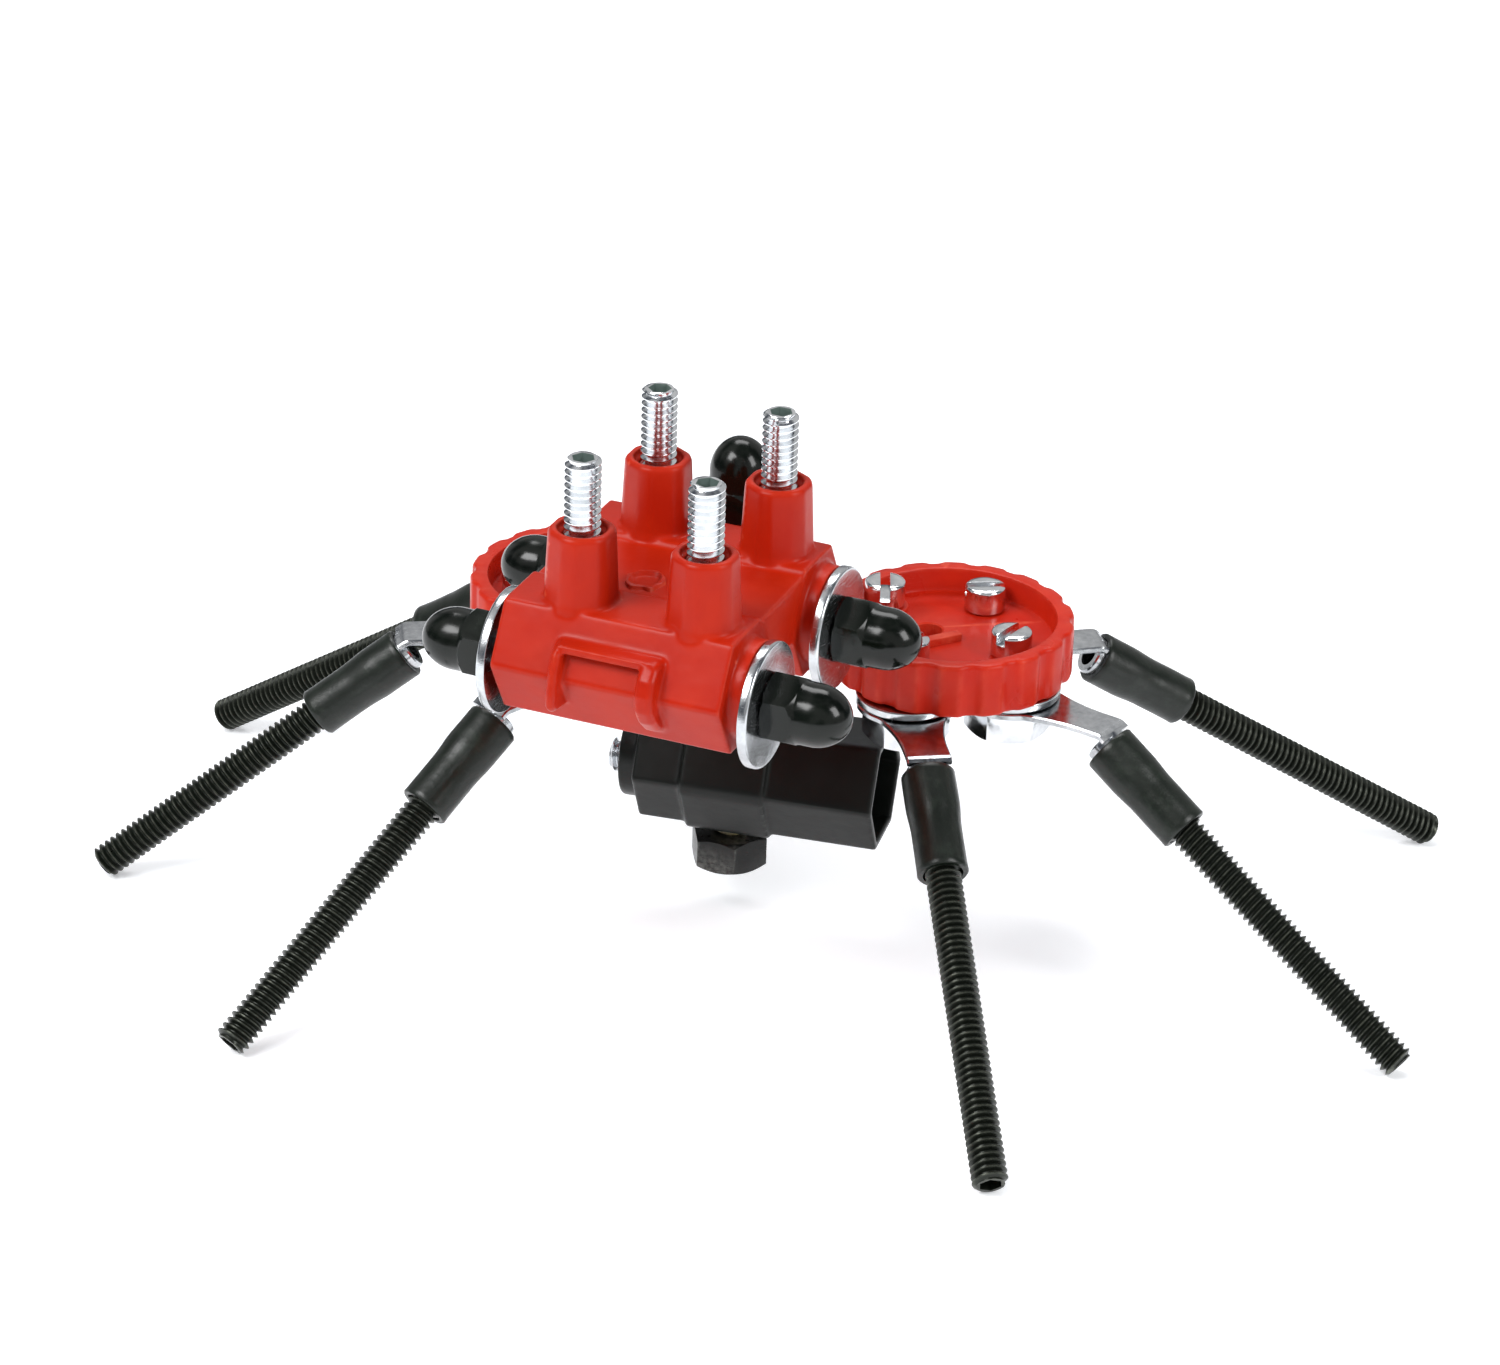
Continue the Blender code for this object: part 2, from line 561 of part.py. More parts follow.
def build_leg(name, heading, free_length, materials, pivot):
    """Ring lug, sleeve and stud of one leg, around its swivel."""
    pitch = leg_pitch(free_length)
    lug_bm = lug_mesh(pitch)
    bmesh.ops.translate(lug_bm, vec=(0, 0, LUG_Z), verts=lug_bm.verts)
    lug = add_object(f"{name}_lug", lug_bm, materials["zinc"], pivot)
    barrel_start = ELBOW_TO_SLEEVE - BARREL_BARE
    outline = polygon(FACETS, BARREL_R, math.pi / FACETS)
    barrel = loft([(outline, 0), (outline, BARREL_LENGTH)])
    combine(lug, "UNION", f"{name}_barrel", along_leg(barrel, pitch, barrel_start))
    bore = cylinder(BARREL_BORE_R, -0.001, BARREL_LENGTH + 0.001)
    combine(lug, "DIFFERENCE", f"{name}_barrel_bore", along_leg(bore, pitch, barrel_start))
    combine(lug, "DIFFERENCE", f"{name}_eye_hole", cylinder(HOLE_R, LUG_Z - 0.003, LUG_Z + 0.003))
    barrel_depth = BARREL_LENGTH - BARREL_BARE + GAP
    sleeve = loft([(polygon(FACETS, SLEEVE_TOP_R), 0), (polygon(FACETS, SLEEVE_TOP_R), barrel_depth),
                   (polygon(FACETS, SLEEVE_FOOT_R), barrel_depth + 0.003),
                   (polygon(FACETS, SLEEVE_FOOT_R), SLEEVE_LENGTH),
                   (polygon(FACETS, HOLE_R), SLEEVE_LENGTH), (polygon(FACETS, HOLE_R), barrel_depth),
                   (polygon(FACETS, BARREL_R + GAP), barrel_depth), (polygon(FACETS, BARREL_R + GAP), 0)],
                  closed=True)
    add_object(f"{name}_sleeve", along_leg(sleeve, pitch, ELBOW_TO_SLEEVE), materials["black_rubber"], pivot)
    stud_start = ELBOW_TO_SLEEVE + SLEEVE_LENGTH - STUD_HIDDEN
    stud = along_leg(chamfered_rod(STUD_HIDDEN + free_length), pitch, stud_start)
    add_object(f"{name}_stud", stud, materials["black_oxide"], pivot)


def build_legs(discs, materials):
    """Six legs, each on its own swivel, with the screw, washer and nut that hold it."""
    floor_z = DISC_TOP_Z - DISC_RECESS
    nut_top = LUG_Z - LUG_T / 2 - GAP
    centers = {"left": LEFT_DISC, "right": RIGHT_DISC}
    for name, (side, angle, heading, free_length) in LEGS.items():
        disc_pivot, anchor = discs[side]
        hip_x = centers[side][0] + SCREW_CIRCLE_R * math.cos(angle) - anchor[0]
        hip_y = centers[side][1] + SCREW_CIRCLE_R * math.sin(angle) - anchor[1]
        yaw = math.radians(heading)
        swivel = add_empty(f"{name}_swivel", (hip_x, hip_y, 0), disc_pivot, yaw)
        build_leg(name, heading, free_length, materials, swivel)
        spot = (hip_x, hip_y, 0)
        washer = ring_solid(polygon(FACETS, HIP_WASHER_R), HOLE_R, WASHER_TOP_Z - HIP_WASHER_T, WASHER_TOP_Z)
        add_object(f"{name}_washer", washer, materials["zinc"], disc_pivot, spot)
        nut = ring_solid(hexagon_ring(HIP_NUT_FLATS), HOLE_R, nut_top - HIP_NUT_HEIGHT, nut_top)
        bmesh.ops.transform(nut, matrix=Matrix.Rotation(HIP_NUT_TURN, 4, "Z"), verts=nut.verts)
        add_object(f"{name}_nut", nut, materials["zinc"], disc_pivot, spot)
        end_z = nut_top - HIP_NUT_HEIGHT - 0.001
        add_slotted_screw(f"{name}_screw", floor_z, end_z, materials, disc_pivot, spot)


def build_plate(anchors, materials, parent):
    """Bent steel strip from one disc's inner screw past the centre bolt to the other's."""
    low, high = WASHER_TOP_Z - HIP_WASHER_T, WASHER_TOP_Z
    eye = cylinder(PLATE_EYE_R, low, high, BOLT_XY)
    plate = add_object("bridge_plate", eye, materials["zinc"], parent)
    for side, anchor in anchors.items():
        combine(plate, "UNION", f"plate_eye_{side}", cylinder(PLATE_EYE_R, low, high, anchor))
        run = Vector(anchor) - Vector(BOLT_XY)
        across = Vector((-run.y, run.x)).normalized() * PLATE_ARM / 2
        corners = [Vector(BOLT_XY) - across, Vector(anchor) - across, Vector(anchor) + across, Vector(BOLT_XY) + across]
        arm = [(corner.x, corner.y) for corner in corners]
        combine(plate, "UNION", f"plate_arm_{side}", loft([(arm, low), (arm, high)]))
    spots = [BOLT_XY] + list(anchors.values())
    combine(plate, "DIFFERENCE", "plate_holes", merge(*[cylinder(HOLE_R, low - 0.01, high + 0.01, s) for s in spots]))


def build_bolt(materials, parent):
    """Hexagon-head bolt from below, closed by a cap nut on top of the pillar."""
    cap_z = PILLAR_TOP_Z + GAP
    head_top = BOLT_HEAD_Z + BOLT_HEAD_HEIGHT
    head = hexagon_ring(BOLT_HEAD_FLATS)
    crown = polygon(FACETS, BOLT_HEAD_FLATS / 2 * 0.95)
    shank = polygon(FACETS, THREAD_R)
    bolt = loft([(crown, BOLT_HEAD_Z), (head, BOLT_HEAD_Z + 0.0007), (head, head_top - 0.0007), (crown, head_top),
                 (shank, head_top), (shank, cap_z + AXLE_ENGAGEMENT)])
    add_object("centre_bolt", bolt, materials["black_oxide"], parent, (*BOLT_XY, 0))
    cap = add_object("centre_cap_nut", cap_nut_mesh(), materials["black_plastic"], parent, (*BOLT_XY, cap_z))
    return cap


def build_connector(materials, parent):
    """Black hexagonal connector that hangs on the centre bolt, open at one end."""
    pivot = add_empty("connector_swivel", (*BOLT_XY, 0), parent, CONNECTOR_YAW)
    tube = add_object("connector_tube", hex_bar(HEX_FLATS, CONNECTOR_LEFT, CONNECTOR_RIGHT, 0, CONNECTOR_Z),
                      materials["black_plastic"], pivot)
    collar = hex_bar(HEX_FLATS + 2 * COLLAR_EXTRA, COLLAR_X - COLLAR_HALF, COLLAR_X + COLLAR_HALF, 0, CONNECTOR_Z)
    combine(tube, "UNION", "collar", collar)
    neck_end = CONNECTOR_LEFT - CONNECTOR_NECK
    combine(tube, "UNION", "connector_neck", rod_bar(NECK_R, neck_end, CONNECTOR_LEFT + 0.001, 0, CONNECTOR_Z))
    plate_low = WASHER_TOP_Z - HIP_WASHER_T
    foot = polygon(FACETS, TOWER_FOOT_R)
    top = polygon(FACETS, TOWER_TOP_R)
    combine(tube, "UNION", "connector_tower", loft([(foot, CONNECTOR_Z + 0.009), (top, plate_low - GAP)]))
    combine(tube, "DIFFERENCE", "connector_cavity",
            hex_bar(HEX_FLATS - 2 * HEX_WALL, CONNECTOR_LEFT + 0.002, CONNECTOR_RIGHT + 0.001, 0, CONNECTOR_Z))
    stub_z = CONNECTOR_Z - STUB_DROP
    combine(tube, "DIFFERENCE", "stub_bore", rod_bar(HOLE_R, neck_end - 0.001, CONNECTOR_LEFT + 0.003, 0, stub_z))
    combine(tube, "DIFFERENCE", "bolt_bore", cylinder(HOLE_R, 0.01, plate_low))
    stub = turn(grub_mesh(STUB_LENGTH), (-1, 0, 0), (neck_end - STUB_REACH + STUB_LENGTH, 0, stub_z))
    add_object("stub_screw", stub, materials["zinc"], pivot)


def center_on_footprint(root):
    """Move the model so that the middle of its footprint is at the origin."""
    bpy.context.view_layer.update()
    graph = bpy.context.evaluated_depsgraph_get()
    corners = []
    for obj in bpy.data.objects:
        if obj.type == "MESH" and not obj.hide_render:
            mesh = obj.evaluated_get(graph).to_mesh()
            corners.extend(obj.matrix_world @ vert.co for vert in mesh.vertices)
    low = Vector([min(c[i] for c in corners) for i in range(3)])
    high = Vector([max(c[i] for c in corners) for i in range(3)])
    root.location = (-(low.x + high.x) / 2, -(low.y + high.y) / 2, -low.z)


def main():
    clear_scene()
    materials = make_materials()
    root = add_empty("spider", (0, 0, 0))
    block_pivot = add_empty("block_swivel", (*BOLT_XY, 0), root)
    build_block(materials, block_pivot)
    build_grub_screws(materials, block_pivot)
    build_axles(materials, block_pivot)
    discs = {"left": build_disc("left", LEFT_DISC, LEFT_PATTERN, materials, root),
             "right": build_disc("right", RIGHT_DISC, RIGHT_PATTERN, materials, root)}
    build_legs(discs, materials)
    build_plate({side: anchor for side, (_, anchor) in discs.items()}, materials, root)
    build_bolt(materials, root)
    build_connector(materials, root)
    center_on_footprint(root)


main()
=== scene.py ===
"""Looks of the six-legged spider figure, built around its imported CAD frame.

The design frame used below has +X along the axle rods of the red block and its middle above X = Y = 0.
place() turns its points into the row frame. All sizes are in metres.
"""
import json
import math

import bmesh
import bpy
from mathutils import Matrix, Vector, noise


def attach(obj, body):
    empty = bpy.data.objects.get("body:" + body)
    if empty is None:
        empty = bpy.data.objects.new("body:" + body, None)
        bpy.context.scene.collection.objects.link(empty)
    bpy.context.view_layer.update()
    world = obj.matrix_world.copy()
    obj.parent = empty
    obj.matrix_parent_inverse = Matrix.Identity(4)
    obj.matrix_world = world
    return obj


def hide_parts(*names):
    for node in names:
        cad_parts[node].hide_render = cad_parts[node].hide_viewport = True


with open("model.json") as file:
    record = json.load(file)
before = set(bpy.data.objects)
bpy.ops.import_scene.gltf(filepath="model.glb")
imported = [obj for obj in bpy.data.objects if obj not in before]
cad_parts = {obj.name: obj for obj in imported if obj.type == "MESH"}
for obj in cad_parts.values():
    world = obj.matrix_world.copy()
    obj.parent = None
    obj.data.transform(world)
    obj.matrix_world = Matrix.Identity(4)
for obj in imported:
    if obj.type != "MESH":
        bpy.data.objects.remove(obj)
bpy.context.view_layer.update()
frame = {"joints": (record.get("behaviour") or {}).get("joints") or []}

JOINTS = {joint["name"]: joint for joint in frame["joints"]}

# Clearance, and the one thread that every screw, stud and rod has
GAP = 0.0003
PITCH = 0.00127
THREAD_R = 0.00317
THREAD_DEPTH = 0.00076
HOLE_R = THREAD_R + GAP

# Red block: two hexagonal tubes, their necks, the web, the towers and the hoods
HEX_FLATS = 0.0206
HEX_WALL = 0.0014
TUBE_CORNER_R = 0.0006
TUBE_LEFT_X = -0.023
TUBE_RIGHT_X = 0.0193
TUBE_Z = 0.0748
TUBE_PITCH = 0.0322
NECK_R = 0.0085
NECK_BORE_R = 0.0061
NECK_END_X = 0.0219
WEB_HEIGHT = 0.011
WEB_DROP = 0.001
TOWER_PITCH = 0.0226
TOWER_TOP_Z = 0.0983
TOWER_TOP_R = 0.00585
TOWER_FOOT_R = 0.0064
TOWER_BORE_R = 0.0043
TOWER_BORE_DEPTH = 0.0013
TOWER_FLAT = 0.95
MARK_XY = (-0.0044, -0.0041)
MARK_OUTLINE = [
    (0.0001, 0), (0.0036, 0), (0.0033, 0.0006), (0.0027, 0.0007), (0.0022, 0.0001), (0.0001, 0.00012),
]
HOOD_LEFT_X = -0.0114
HOOD_RIGHT_X = 0.0081
HOOD_TOP = 0.0064
HOOD_PLATE_REACH = 0.0115
HOOD_PLATE_T = 0.0014
THIN_EAR = 0.0018
WIDE_EAR = 0.0034
EAR_CORNER_R = 0.001
EAR_EDGE = 0.0007
EAR_END_CUT = 0.0006
EAR_END_SCALE = 0.93
THIN_EAR_OUTLINE = [
    (0.0, 0.0064), (0.0105, 0.0064), (0.0125, 0.0052), (0.0140, 0.0020), (0.0149, -0.0018),
    (0.0150, -0.0042), (0.0138, -0.0053), (0.0110, -0.0056), (0.0, -0.0056),
]
WIDE_EAR_OUTLINE = [
    (0.0, 0.0064), (0.0100, 0.0064), (0.0118, 0.0060), (0.0136, 0.0042), (0.0147, 0.0014),
    (0.0144, -0.0014), (0.0128, -0.0042), (0.0102, -0.0066), (0.0078, -0.0078), (0.0, -0.0078),
]

# Axles with their washers and cap nuts, and the set screws in the towers
AXLE_Z = TUBE_Z - 0.0026
LEFT_WASHER_GAP = 0.0013
WASHER_R = 0.0111
WASHER_T = 0.0017
CAP_FLATS = 0.0114
CAP_HEX_LENGTH = 0.0057
CAP_DOME_R = 0.0055
CAP_LENGTH = 0.0144
CAP_BORE_DEPTH = 0.0086
AXLE_ENGAGEMENT = 0.008
GRUB_TOP_Z = 0.111
GRUB_SOCKET_FLATS = 0.0036
GRUB_SOCKET_DEPTH = 0.003
GRUB_TURN = 0.7

# Scalloped discs and what is screwed to them
DISC_TOP_Z = 0.0605
DISC_THICKNESS = 0.010
DISC_PEAK_R = 0.0220
DISC_NOTCH_R = 0.0213
DISC_RIM_R = 0.0188
DISC_RECESS = 0.0045
DISC_SCALLOPS = 18
DISC_HOLE_R = 0.0025
DISC_HOLE_OFFSET = 0.0048
DISC_FLOOR_MID_R = 0.012
RIB_HALF = 0.001
RIB_HEIGHT = 0.0013
RIB_LENGTH = 0.0078
RIB_START = (-0.0035, -0.0063)
RIB_HEADING = math.radians(50)
BOSS_R = 0.0044
BOSS_HEIGHT = 0.0024
SCREW_CIRCLE_R = 0.0133
SCREW_HEAD_R = 0.0037
SCREW_HEAD_HEIGHT = 0.0046
SCREW_SLOT = 0.0018
SCREW_SLOT_DEPTH = 0.0019
ANCHOR_SLOT_DEPTH = 0.0028
ANCHOR_SLOT_TURN = 1.95
SLOT_TURNS = (0.4, 1.3, 2.2, 0.9, 1.33, 0.47)
HIP_WASHER_R = 0.0093
HIP_WASHER_T = 0.0015
HIP_NUT_FLATS = 0.0136
HIP_NUT_HEIGHT = 0.0055
HIP_NUT_TURN = math.radians(22)
LEFT_DISC = (-0.0333, 0.0397)
RIGHT_DISC = (0.0301, 0.0531)
RIM_SHIFT = {"left": (-0.0008, 0.0003), "right": (0.0009, 0.0)}
LEFT_PATTERN = math.radians(-75)
RIGHT_PATTERN = math.radians(-10)

# Legs: lug, sleeve and stud. LEGS gives each leg's disc, its screw's angle on the disc, its heading in
# degrees and the bare length of its stud.
LUG_T = 0.0012
LUG_EYE_R = 0.0091
LUG_EYE_END = math.radians(42)
LUG_NECK_HALF = 0.0040
LUG_TAPER = 0.011
LUG_NECK_END = 0.02
LUG_BEND_R = 0.002
BARREL_R = 0.0037
BARREL_BORE_R = 0.0023
BARREL_SHOULDER = 0.00015
BARREL_LENGTH = 0.0085
BARREL_BARE = 0.0014
SLEEVE_TOP_R = 0.0048
SLEEVE_FOOT_R = 0.0045
SLEEVE_LENGTH = 0.0201
SLEEVE_WAVE = 0.022
ELBOW_REACH = 0.0163
ELBOW_TO_SLEEVE = 0.0062
STUD_HIDDEN = 0.0095
STUD_CHAMFER = 0.0006
STUD_TURN = 1.1
LEGS = {
    "front_left": ("left", LEFT_PATTERN, -113, 0.0545),
    "middle_left": ("left", LEFT_PATTERN - math.pi / 2, -151, 0.0498),
    "rear_left": ("left", LEFT_PATTERN + math.pi, 174, 0.056),
    "front_right": ("right", RIGHT_PATTERN - math.pi / 2, -58.5, 0.0600),
    "middle_right": ("right", RIGHT_PATTERN, -13, 0.056),
    "rear_right": ("right", RIGHT_PATTERN + math.pi / 2, 35.2, 0.0602),
}

# Centre bolt, bridge plate, pillar and connector
BOLT_XY = (-0.0056, 0.040)
BOLT_HEAD_Z = 0.0083
BOLT_HEAD_HEIGHT = 0.0062
BOLT_HEAD_FLATS = 0.0128
PLATE_EYE_R = 0.0078
PLATE_ARM = 0.011
PILLAR_R = 0.005
PILLAR_TOP_Z = 0.0784
PILLAR_ARM_LOW_Z = TUBE_Z - 0.0055
PILLAR_ARM_TOP_Z = TUBE_Z + 0.0029
CONNECTOR_Z = 0.028
CONNECTOR_YAW = math.radians(7.5)
CONNECTOR_LEFT = -0.0158
CONNECTOR_RIGHT = 0.0290
CONNECTOR_NECK = 0.0035
CONNECTOR_CORNER_R = 0.0008
COLLAR_X = 0.0012
COLLAR_HALF = 0.0078
COLLAR_EXTRA = 0.0010
COLLAR_CORNER_R = 0.003
STUB_REACH = 0.0033
STUB_DROP = 0.0016
STUB_LENGTH = 0.012

# Voxels of the moulded pieces: for joining their solids and for rounding the result
BLOCK_VOXEL = 0.0003
CONNECTOR_VOXEL = 0.00036
SOFT_VOXEL = 0.0003

# Studio and camera
FLOOR_SIZE = 1.3
FLOOR_GLOW = 0.34
WORLD_STRENGTH = 0.45
BACKDROP = (2.4, 2.4, 2.4, 1)
LIGHT_TARGET = (0, 0, 0.04)
CAMERA_FROM = (0.3299, -0.7880, 0.4953)
CAMERA_FORWARD = (-0.3326, 0.8285, -0.4504)
CAMERA_ROLL = math.radians(1.79)
CAMERA_LENS = 132.7

WASHER_TOP_Z = DISC_TOP_Z - DISC_THICKNESS - GAP
LUG_Z = WASHER_TOP_Z - HIP_WASHER_T - GAP - LUG_T / 2

front_axle = Vector(JOINTS["front_axle_spin"]["pos_m"])
rear_axle = Vector(JOINTS["rear_axle_spin"]["pos_m"])
SHIFT = Vector((front_axle.x, (front_axle.y + rear_axle.y) / 2, front_axle.z - AXLE_Z))
TO_ROW = Matrix.Translation(SHIFT)


# ---------- materials ----------

class Nodes:
    """Short way to build one procedural material."""

    def __init__(self, name):
        self.material = bpy.data.materials.new(name)
        self.material.use_nodes = True
        self.tree = self.material.node_tree
        self.shader = self.tree.nodes["Principled BSDF"]
        self.coords = self.tree.nodes.new("ShaderNodeTexCoord").outputs["Object"]

    def node(self, kind, **values):
        made = self.tree.nodes.new(kind)
        for key, value in values.items():
            if key in made.inputs:
                made.inputs[key].default_value = value
            else:
                setattr(made, key, value)
        return made

    def link(self, source, target):
        self.tree.links.new(source, target)

    def noise(self, scale, detail=4.0, roughness=0.55, stretch=None):
        source = self.coords
        if stretch:
            mapping = self.node("ShaderNodeMapping", Scale=stretch)
            self.link(source, mapping.inputs["Vector"])
            source = mapping.outputs["Vector"]
        texture = self.node("ShaderNodeTexNoise", Scale=scale, Detail=detail, Roughness=roughness)
        self.link(source, texture.inputs["Vector"])
        return texture.outputs["Fac"]

    def remap(self, value, low, high, start=0.0, end=1.0):
        node = self.node("ShaderNodeMapRange")
        self.link(value, node.inputs["Value"])
        for key, number in (("From Min", low), ("From Max", high), ("To Min", start), ("To Max", end)):
            node.inputs[key].default_value = number
        return node.outputs["Result"]

    def mix(self, factor, first, second):
        node = self.node("ShaderNodeMix", data_type="RGBA")
        self.link(factor, node.inputs["Factor"])
        for socket, value in ((node.inputs[6], first), (node.inputs[7], second)):
            if isinstance(value, tuple):
                socket.default_value = (*value, 1.0)
            else:
                self.link(value, socket)
        return node.outputs[2]

    def math(self, operation, first, second):
        node = self.node("ShaderNodeMath", operation=operation)
        for socket, value in zip(node.inputs, (first, second)):
            if isinstance(value, (int, float)):
                socket.default_value = value
            else:
                self.link(value, socket)
        return node.outputs["Value"]

    def edges(self, low, high):
        """Convex edges, where a surface wears first and where a paler colour also paints highlights."""
        geometry = self.node("ShaderNodeNewGeometry")
        return self.remap(geometry.outputs["Pointiness"], low, high)

    def bump(self, height, strength, distance, below=None):
        node = self.node("ShaderNodeBump", Strength=strength, Distance=distance)
        self.link(height, node.inputs["Height"])
        if below is not None:
            self.link(below, node.inputs["Normal"])
        return node.outputs["Normal"]

    def finish(self, color, roughness, normal, metallic=0.0, specular=0.5, coat=0.0, coat_roughness=0.1):
        self.link(color, self.shader.inputs["Base Color"])
        self.link(roughness, self.shader.inputs["Roughness"])
        self.link(normal, self.shader.inputs["Normal"])
        self.shader.inputs["Metallic"].default_value = metallic
        self.shader.inputs["Specular IOR Level"].default_value = specular
        self.shader.inputs["Coat Weight"].default_value = coat
        self.shader.inputs["Coat Roughness"].default_value = coat_roughness
        return self.material


def plastic(name, color, light, dark, roughness, grain, specular=0.5):
    """Moulded plastic: soft mottling, fine grain, faint handling scuffs, and paler edges that are partly
    worn and partly painted highlight.
    """
    n = Nodes(name)
    broad = n.remap(n.noise(110.0, 3.0), 0.35, 0.65)
    fine = n.noise(1400.0, 5.0, 0.65)
    tone = n.mix(broad, dark, color)
    # Paler convex edges: partly worn plastic, partly painted highlight.
    worn_edges_and_highlight = n.math("MULTIPLY", n.edges(0.515, 0.60), n.remap(n.noise(420.0), 0.3, 0.65))
    tone = n.mix(worn_edges_and_highlight, tone, light)
    scuffs = n.remap(n.noise(260.0, 6.0, 0.7, (1.0, 1.0, 6.0)), 0.58, 0.72)
    rough = n.math("ADD", n.remap(broad, 0.0, 1.0, roughness - 0.04, roughness + 0.05),
                   n.math("MULTIPLY", scuffs, 0.12))
    low = n.bump(n.noise(150.0, 2.0), 0.25, 0.0004)
    normal = n.bump(fine, grain, 0.00005, low)
    return n.finish(tone, rough, normal, specular=specular)


def metal(name, color, light, dark, roughness, metallic, scratches):
    """Plated or blackened steel: patchy tone, drawn scratches and bright edges, partly worn by rubbing and
    partly painted highlight.
    """
    n = Nodes(name)
    patch = n.remap(n.noise(240.0, 5.0, 0.6), 0.3, 0.7)
    tone = n.mix(patch, dark, color)
    # Bright convex edges and thread crests: partly worn by rubbing, partly painted highlight.
    rubbed_edges_and_highlight = n.math("MULTIPLY", n.edges(0.53, 0.64), n.remap(n.noise(900.0), 0.3, 0.65))
    tone = n.mix(rubbed_edges_and_highlight, tone, light)
    streaks = n.noise(500.0, 6.0, 0.7, (1.0, 1.0, 9.0))
    rough = n.remap(streaks, 0.3, 0.7, roughness - 0.06, roughness + 0.1)
    low = n.bump(n.noise(320.0, 3.0), 0.2, 0.0002)
    normal = n.bump(streaks, scratches, 0.00004, low)
    return n.finish(tone, rough, normal, metallic=metallic)


def rubber(name, color, dusty):
    """Soft vinyl sleeve: fine grain and dusty, worn patches."""
    n = Nodes(name)
    patch = n.remap(n.noise(300.0, 6.0, 0.7), 0.5, 0.72)
    tone = n.mix(patch, color, dusty)
    grain = n.noise(1800.0, 5.0, 0.7)
    rough = n.remap(n.noise(200.0), 0.3, 0.7, 0.30, 0.42)
    low = n.bump(n.noise(260.0, 4.0), 0.45, 0.0003)
    normal = n.bump(grain, 0.35, 0.00006, low)
    return n.finish(tone, rough, normal, specular=0.45)


RED = plastic("red_moulded", (0.445, 0.017, 0.003), (0.56, 0.07, 0.035), (0.40, 0.013, 0.003),
              roughness=0.33, grain=0.25, specular=0.16)
RED_DISC = plastic("red_disc", (0.51, 0.017, 0.004), (0.62, 0.07, 0.035), (0.46, 0.013, 0.004),
                   roughness=0.31, grain=0.2, specular=0.16)
BLACK = plastic("black_moulded", (0.003, 0.005, 0.003), (0.02, 0.025, 0.02), (0.002, 0.003, 0.002),
                roughness=0.17, grain=0.1, specular=0.32)
BLACK_TUBE = plastic("black_connector", (0.004, 0.005, 0.004), (0.03, 0.032, 0.028), (0.003, 0.004, 0.003),
                     roughness=0.34, grain=0.3, specular=0.28)
SLEEVE = rubber("black_sleeve", (0.003, 0.006, 0.003), (0.012, 0.018, 0.012))
# The pale edge colour of the studs paints highlights along their thread crests.
OXIDE = metal("black_oxide", (0.015, 0.018, 0.013), (0.17, 0.18, 0.14), (0.009, 0.012, 0.008),
              roughness=0.31, metallic=0.55, scratches=0.08)
ZINC = metal("bright_zinc", (0.66, 0.68, 0.70), (0.88, 0.89, 0.90), (0.44, 0.46, 0.48),
             roughness=0.2, metallic=1.0, scratches=0.25)
SCREW_ZINC = metal("screw_zinc", (0.84, 0.86, 0.88), (0.94, 0.95, 0.96), (0.62, 0.64, 0.66),
                   roughness=0.15, metallic=1.0, scratches=0.2)
# Painted shade: a darker steel colour for the inside of hex sockets, standing in for the shade in the
# recess.
SOCKET_PAINTED_SHADE = metal("socket_shade", (0.25, 0.32, 0.30), (0.5, 0.6, 0.56), (0.17, 0.23, 0.21),
               roughness=0.4, metallic=0.5, scratches=0.2)
LUG_TIN = metal("tinned_lug", (0.58, 0.60, 0.62), (0.88, 0.89, 0.90), (0.36, 0.38, 0.40),
                roughness=0.17, metallic=1.0, scratches=0.3)
YELLOW = metal("yellow_zinc", (0.76, 0.70, 0.50), (0.92, 0.88, 0.74), (0.54, 0.48, 0.32),
               roughness=0.3, metallic=0.8, scratches=0.3)
BOLT_BLACK = metal("bolt_black", (0.014, 0.014, 0.013), (0.13, 0.13, 0.12), (0.008, 0.008, 0.008),
                   roughness=0.3, metallic=0.5, scratches=0.25)


# ---------- mesh helpers ----------

def polygon(count, radius, phase=0.0):
    step = 2 * math.pi / count
    angles = [phase + i * step for i in range(count)]
    return [(radius * math.cos(angle), radius * math.sin(angle)) for angle in angles]


def loft(sections, closed=False):
    """Skin through rings of (outline, height). A closed loft joins its last ring to its first."""
    bm = bmesh.new()
    rings = [[bm.verts.new((x, y, z)) for x, y in outline] for outline, z in sections]
    pairs = list(zip(rings, rings[1:]))
    if closed:
        pairs.append((rings[-1], rings[0]))
    else:
        bm.faces.new(rings[0])
        bm.faces.new(rings[-1])
    for low, high in pairs:
        for i in range(len(low)):
            j = (i + 1) % len(low)
            bm.faces.new((low[i], low[j], high[j], high[i]))
    return bm


def rounded(points, radii, steps=4, closed=True):
    """A polyline of (r, z) with its corners rounded."""
    result = []
    count = len(points)
    for index, (point, radius) in enumerate(zip(points, radii)):
        ends = not closed and index in (0, count - 1)
        if radius <= 0 or ends:
            result.append(point)
            continue
        here = Vector(point)
        back = (Vector(points[index - 1]) - here)
        ahead = (Vector(points[(index + 1) % count]) - here)
        angle = back.angle(ahead)
        cut = radius / math.tan(angle / 2)
        start = here + back.normalized() * cut
        end = here + ahead.normalized() * cut
        for step in range(steps + 1):
            t = step / steps
            bow = start.lerp(here, t).lerp(here.lerp(end, t), t)
            result.append((bow.x, bow.y))
    return result


def lathe(profile, segments=64, closed=False):
    """Turn a profile of (r, z) round Z."""
    return loft([(polygon(segments, r), z) for r, z in profile], closed)


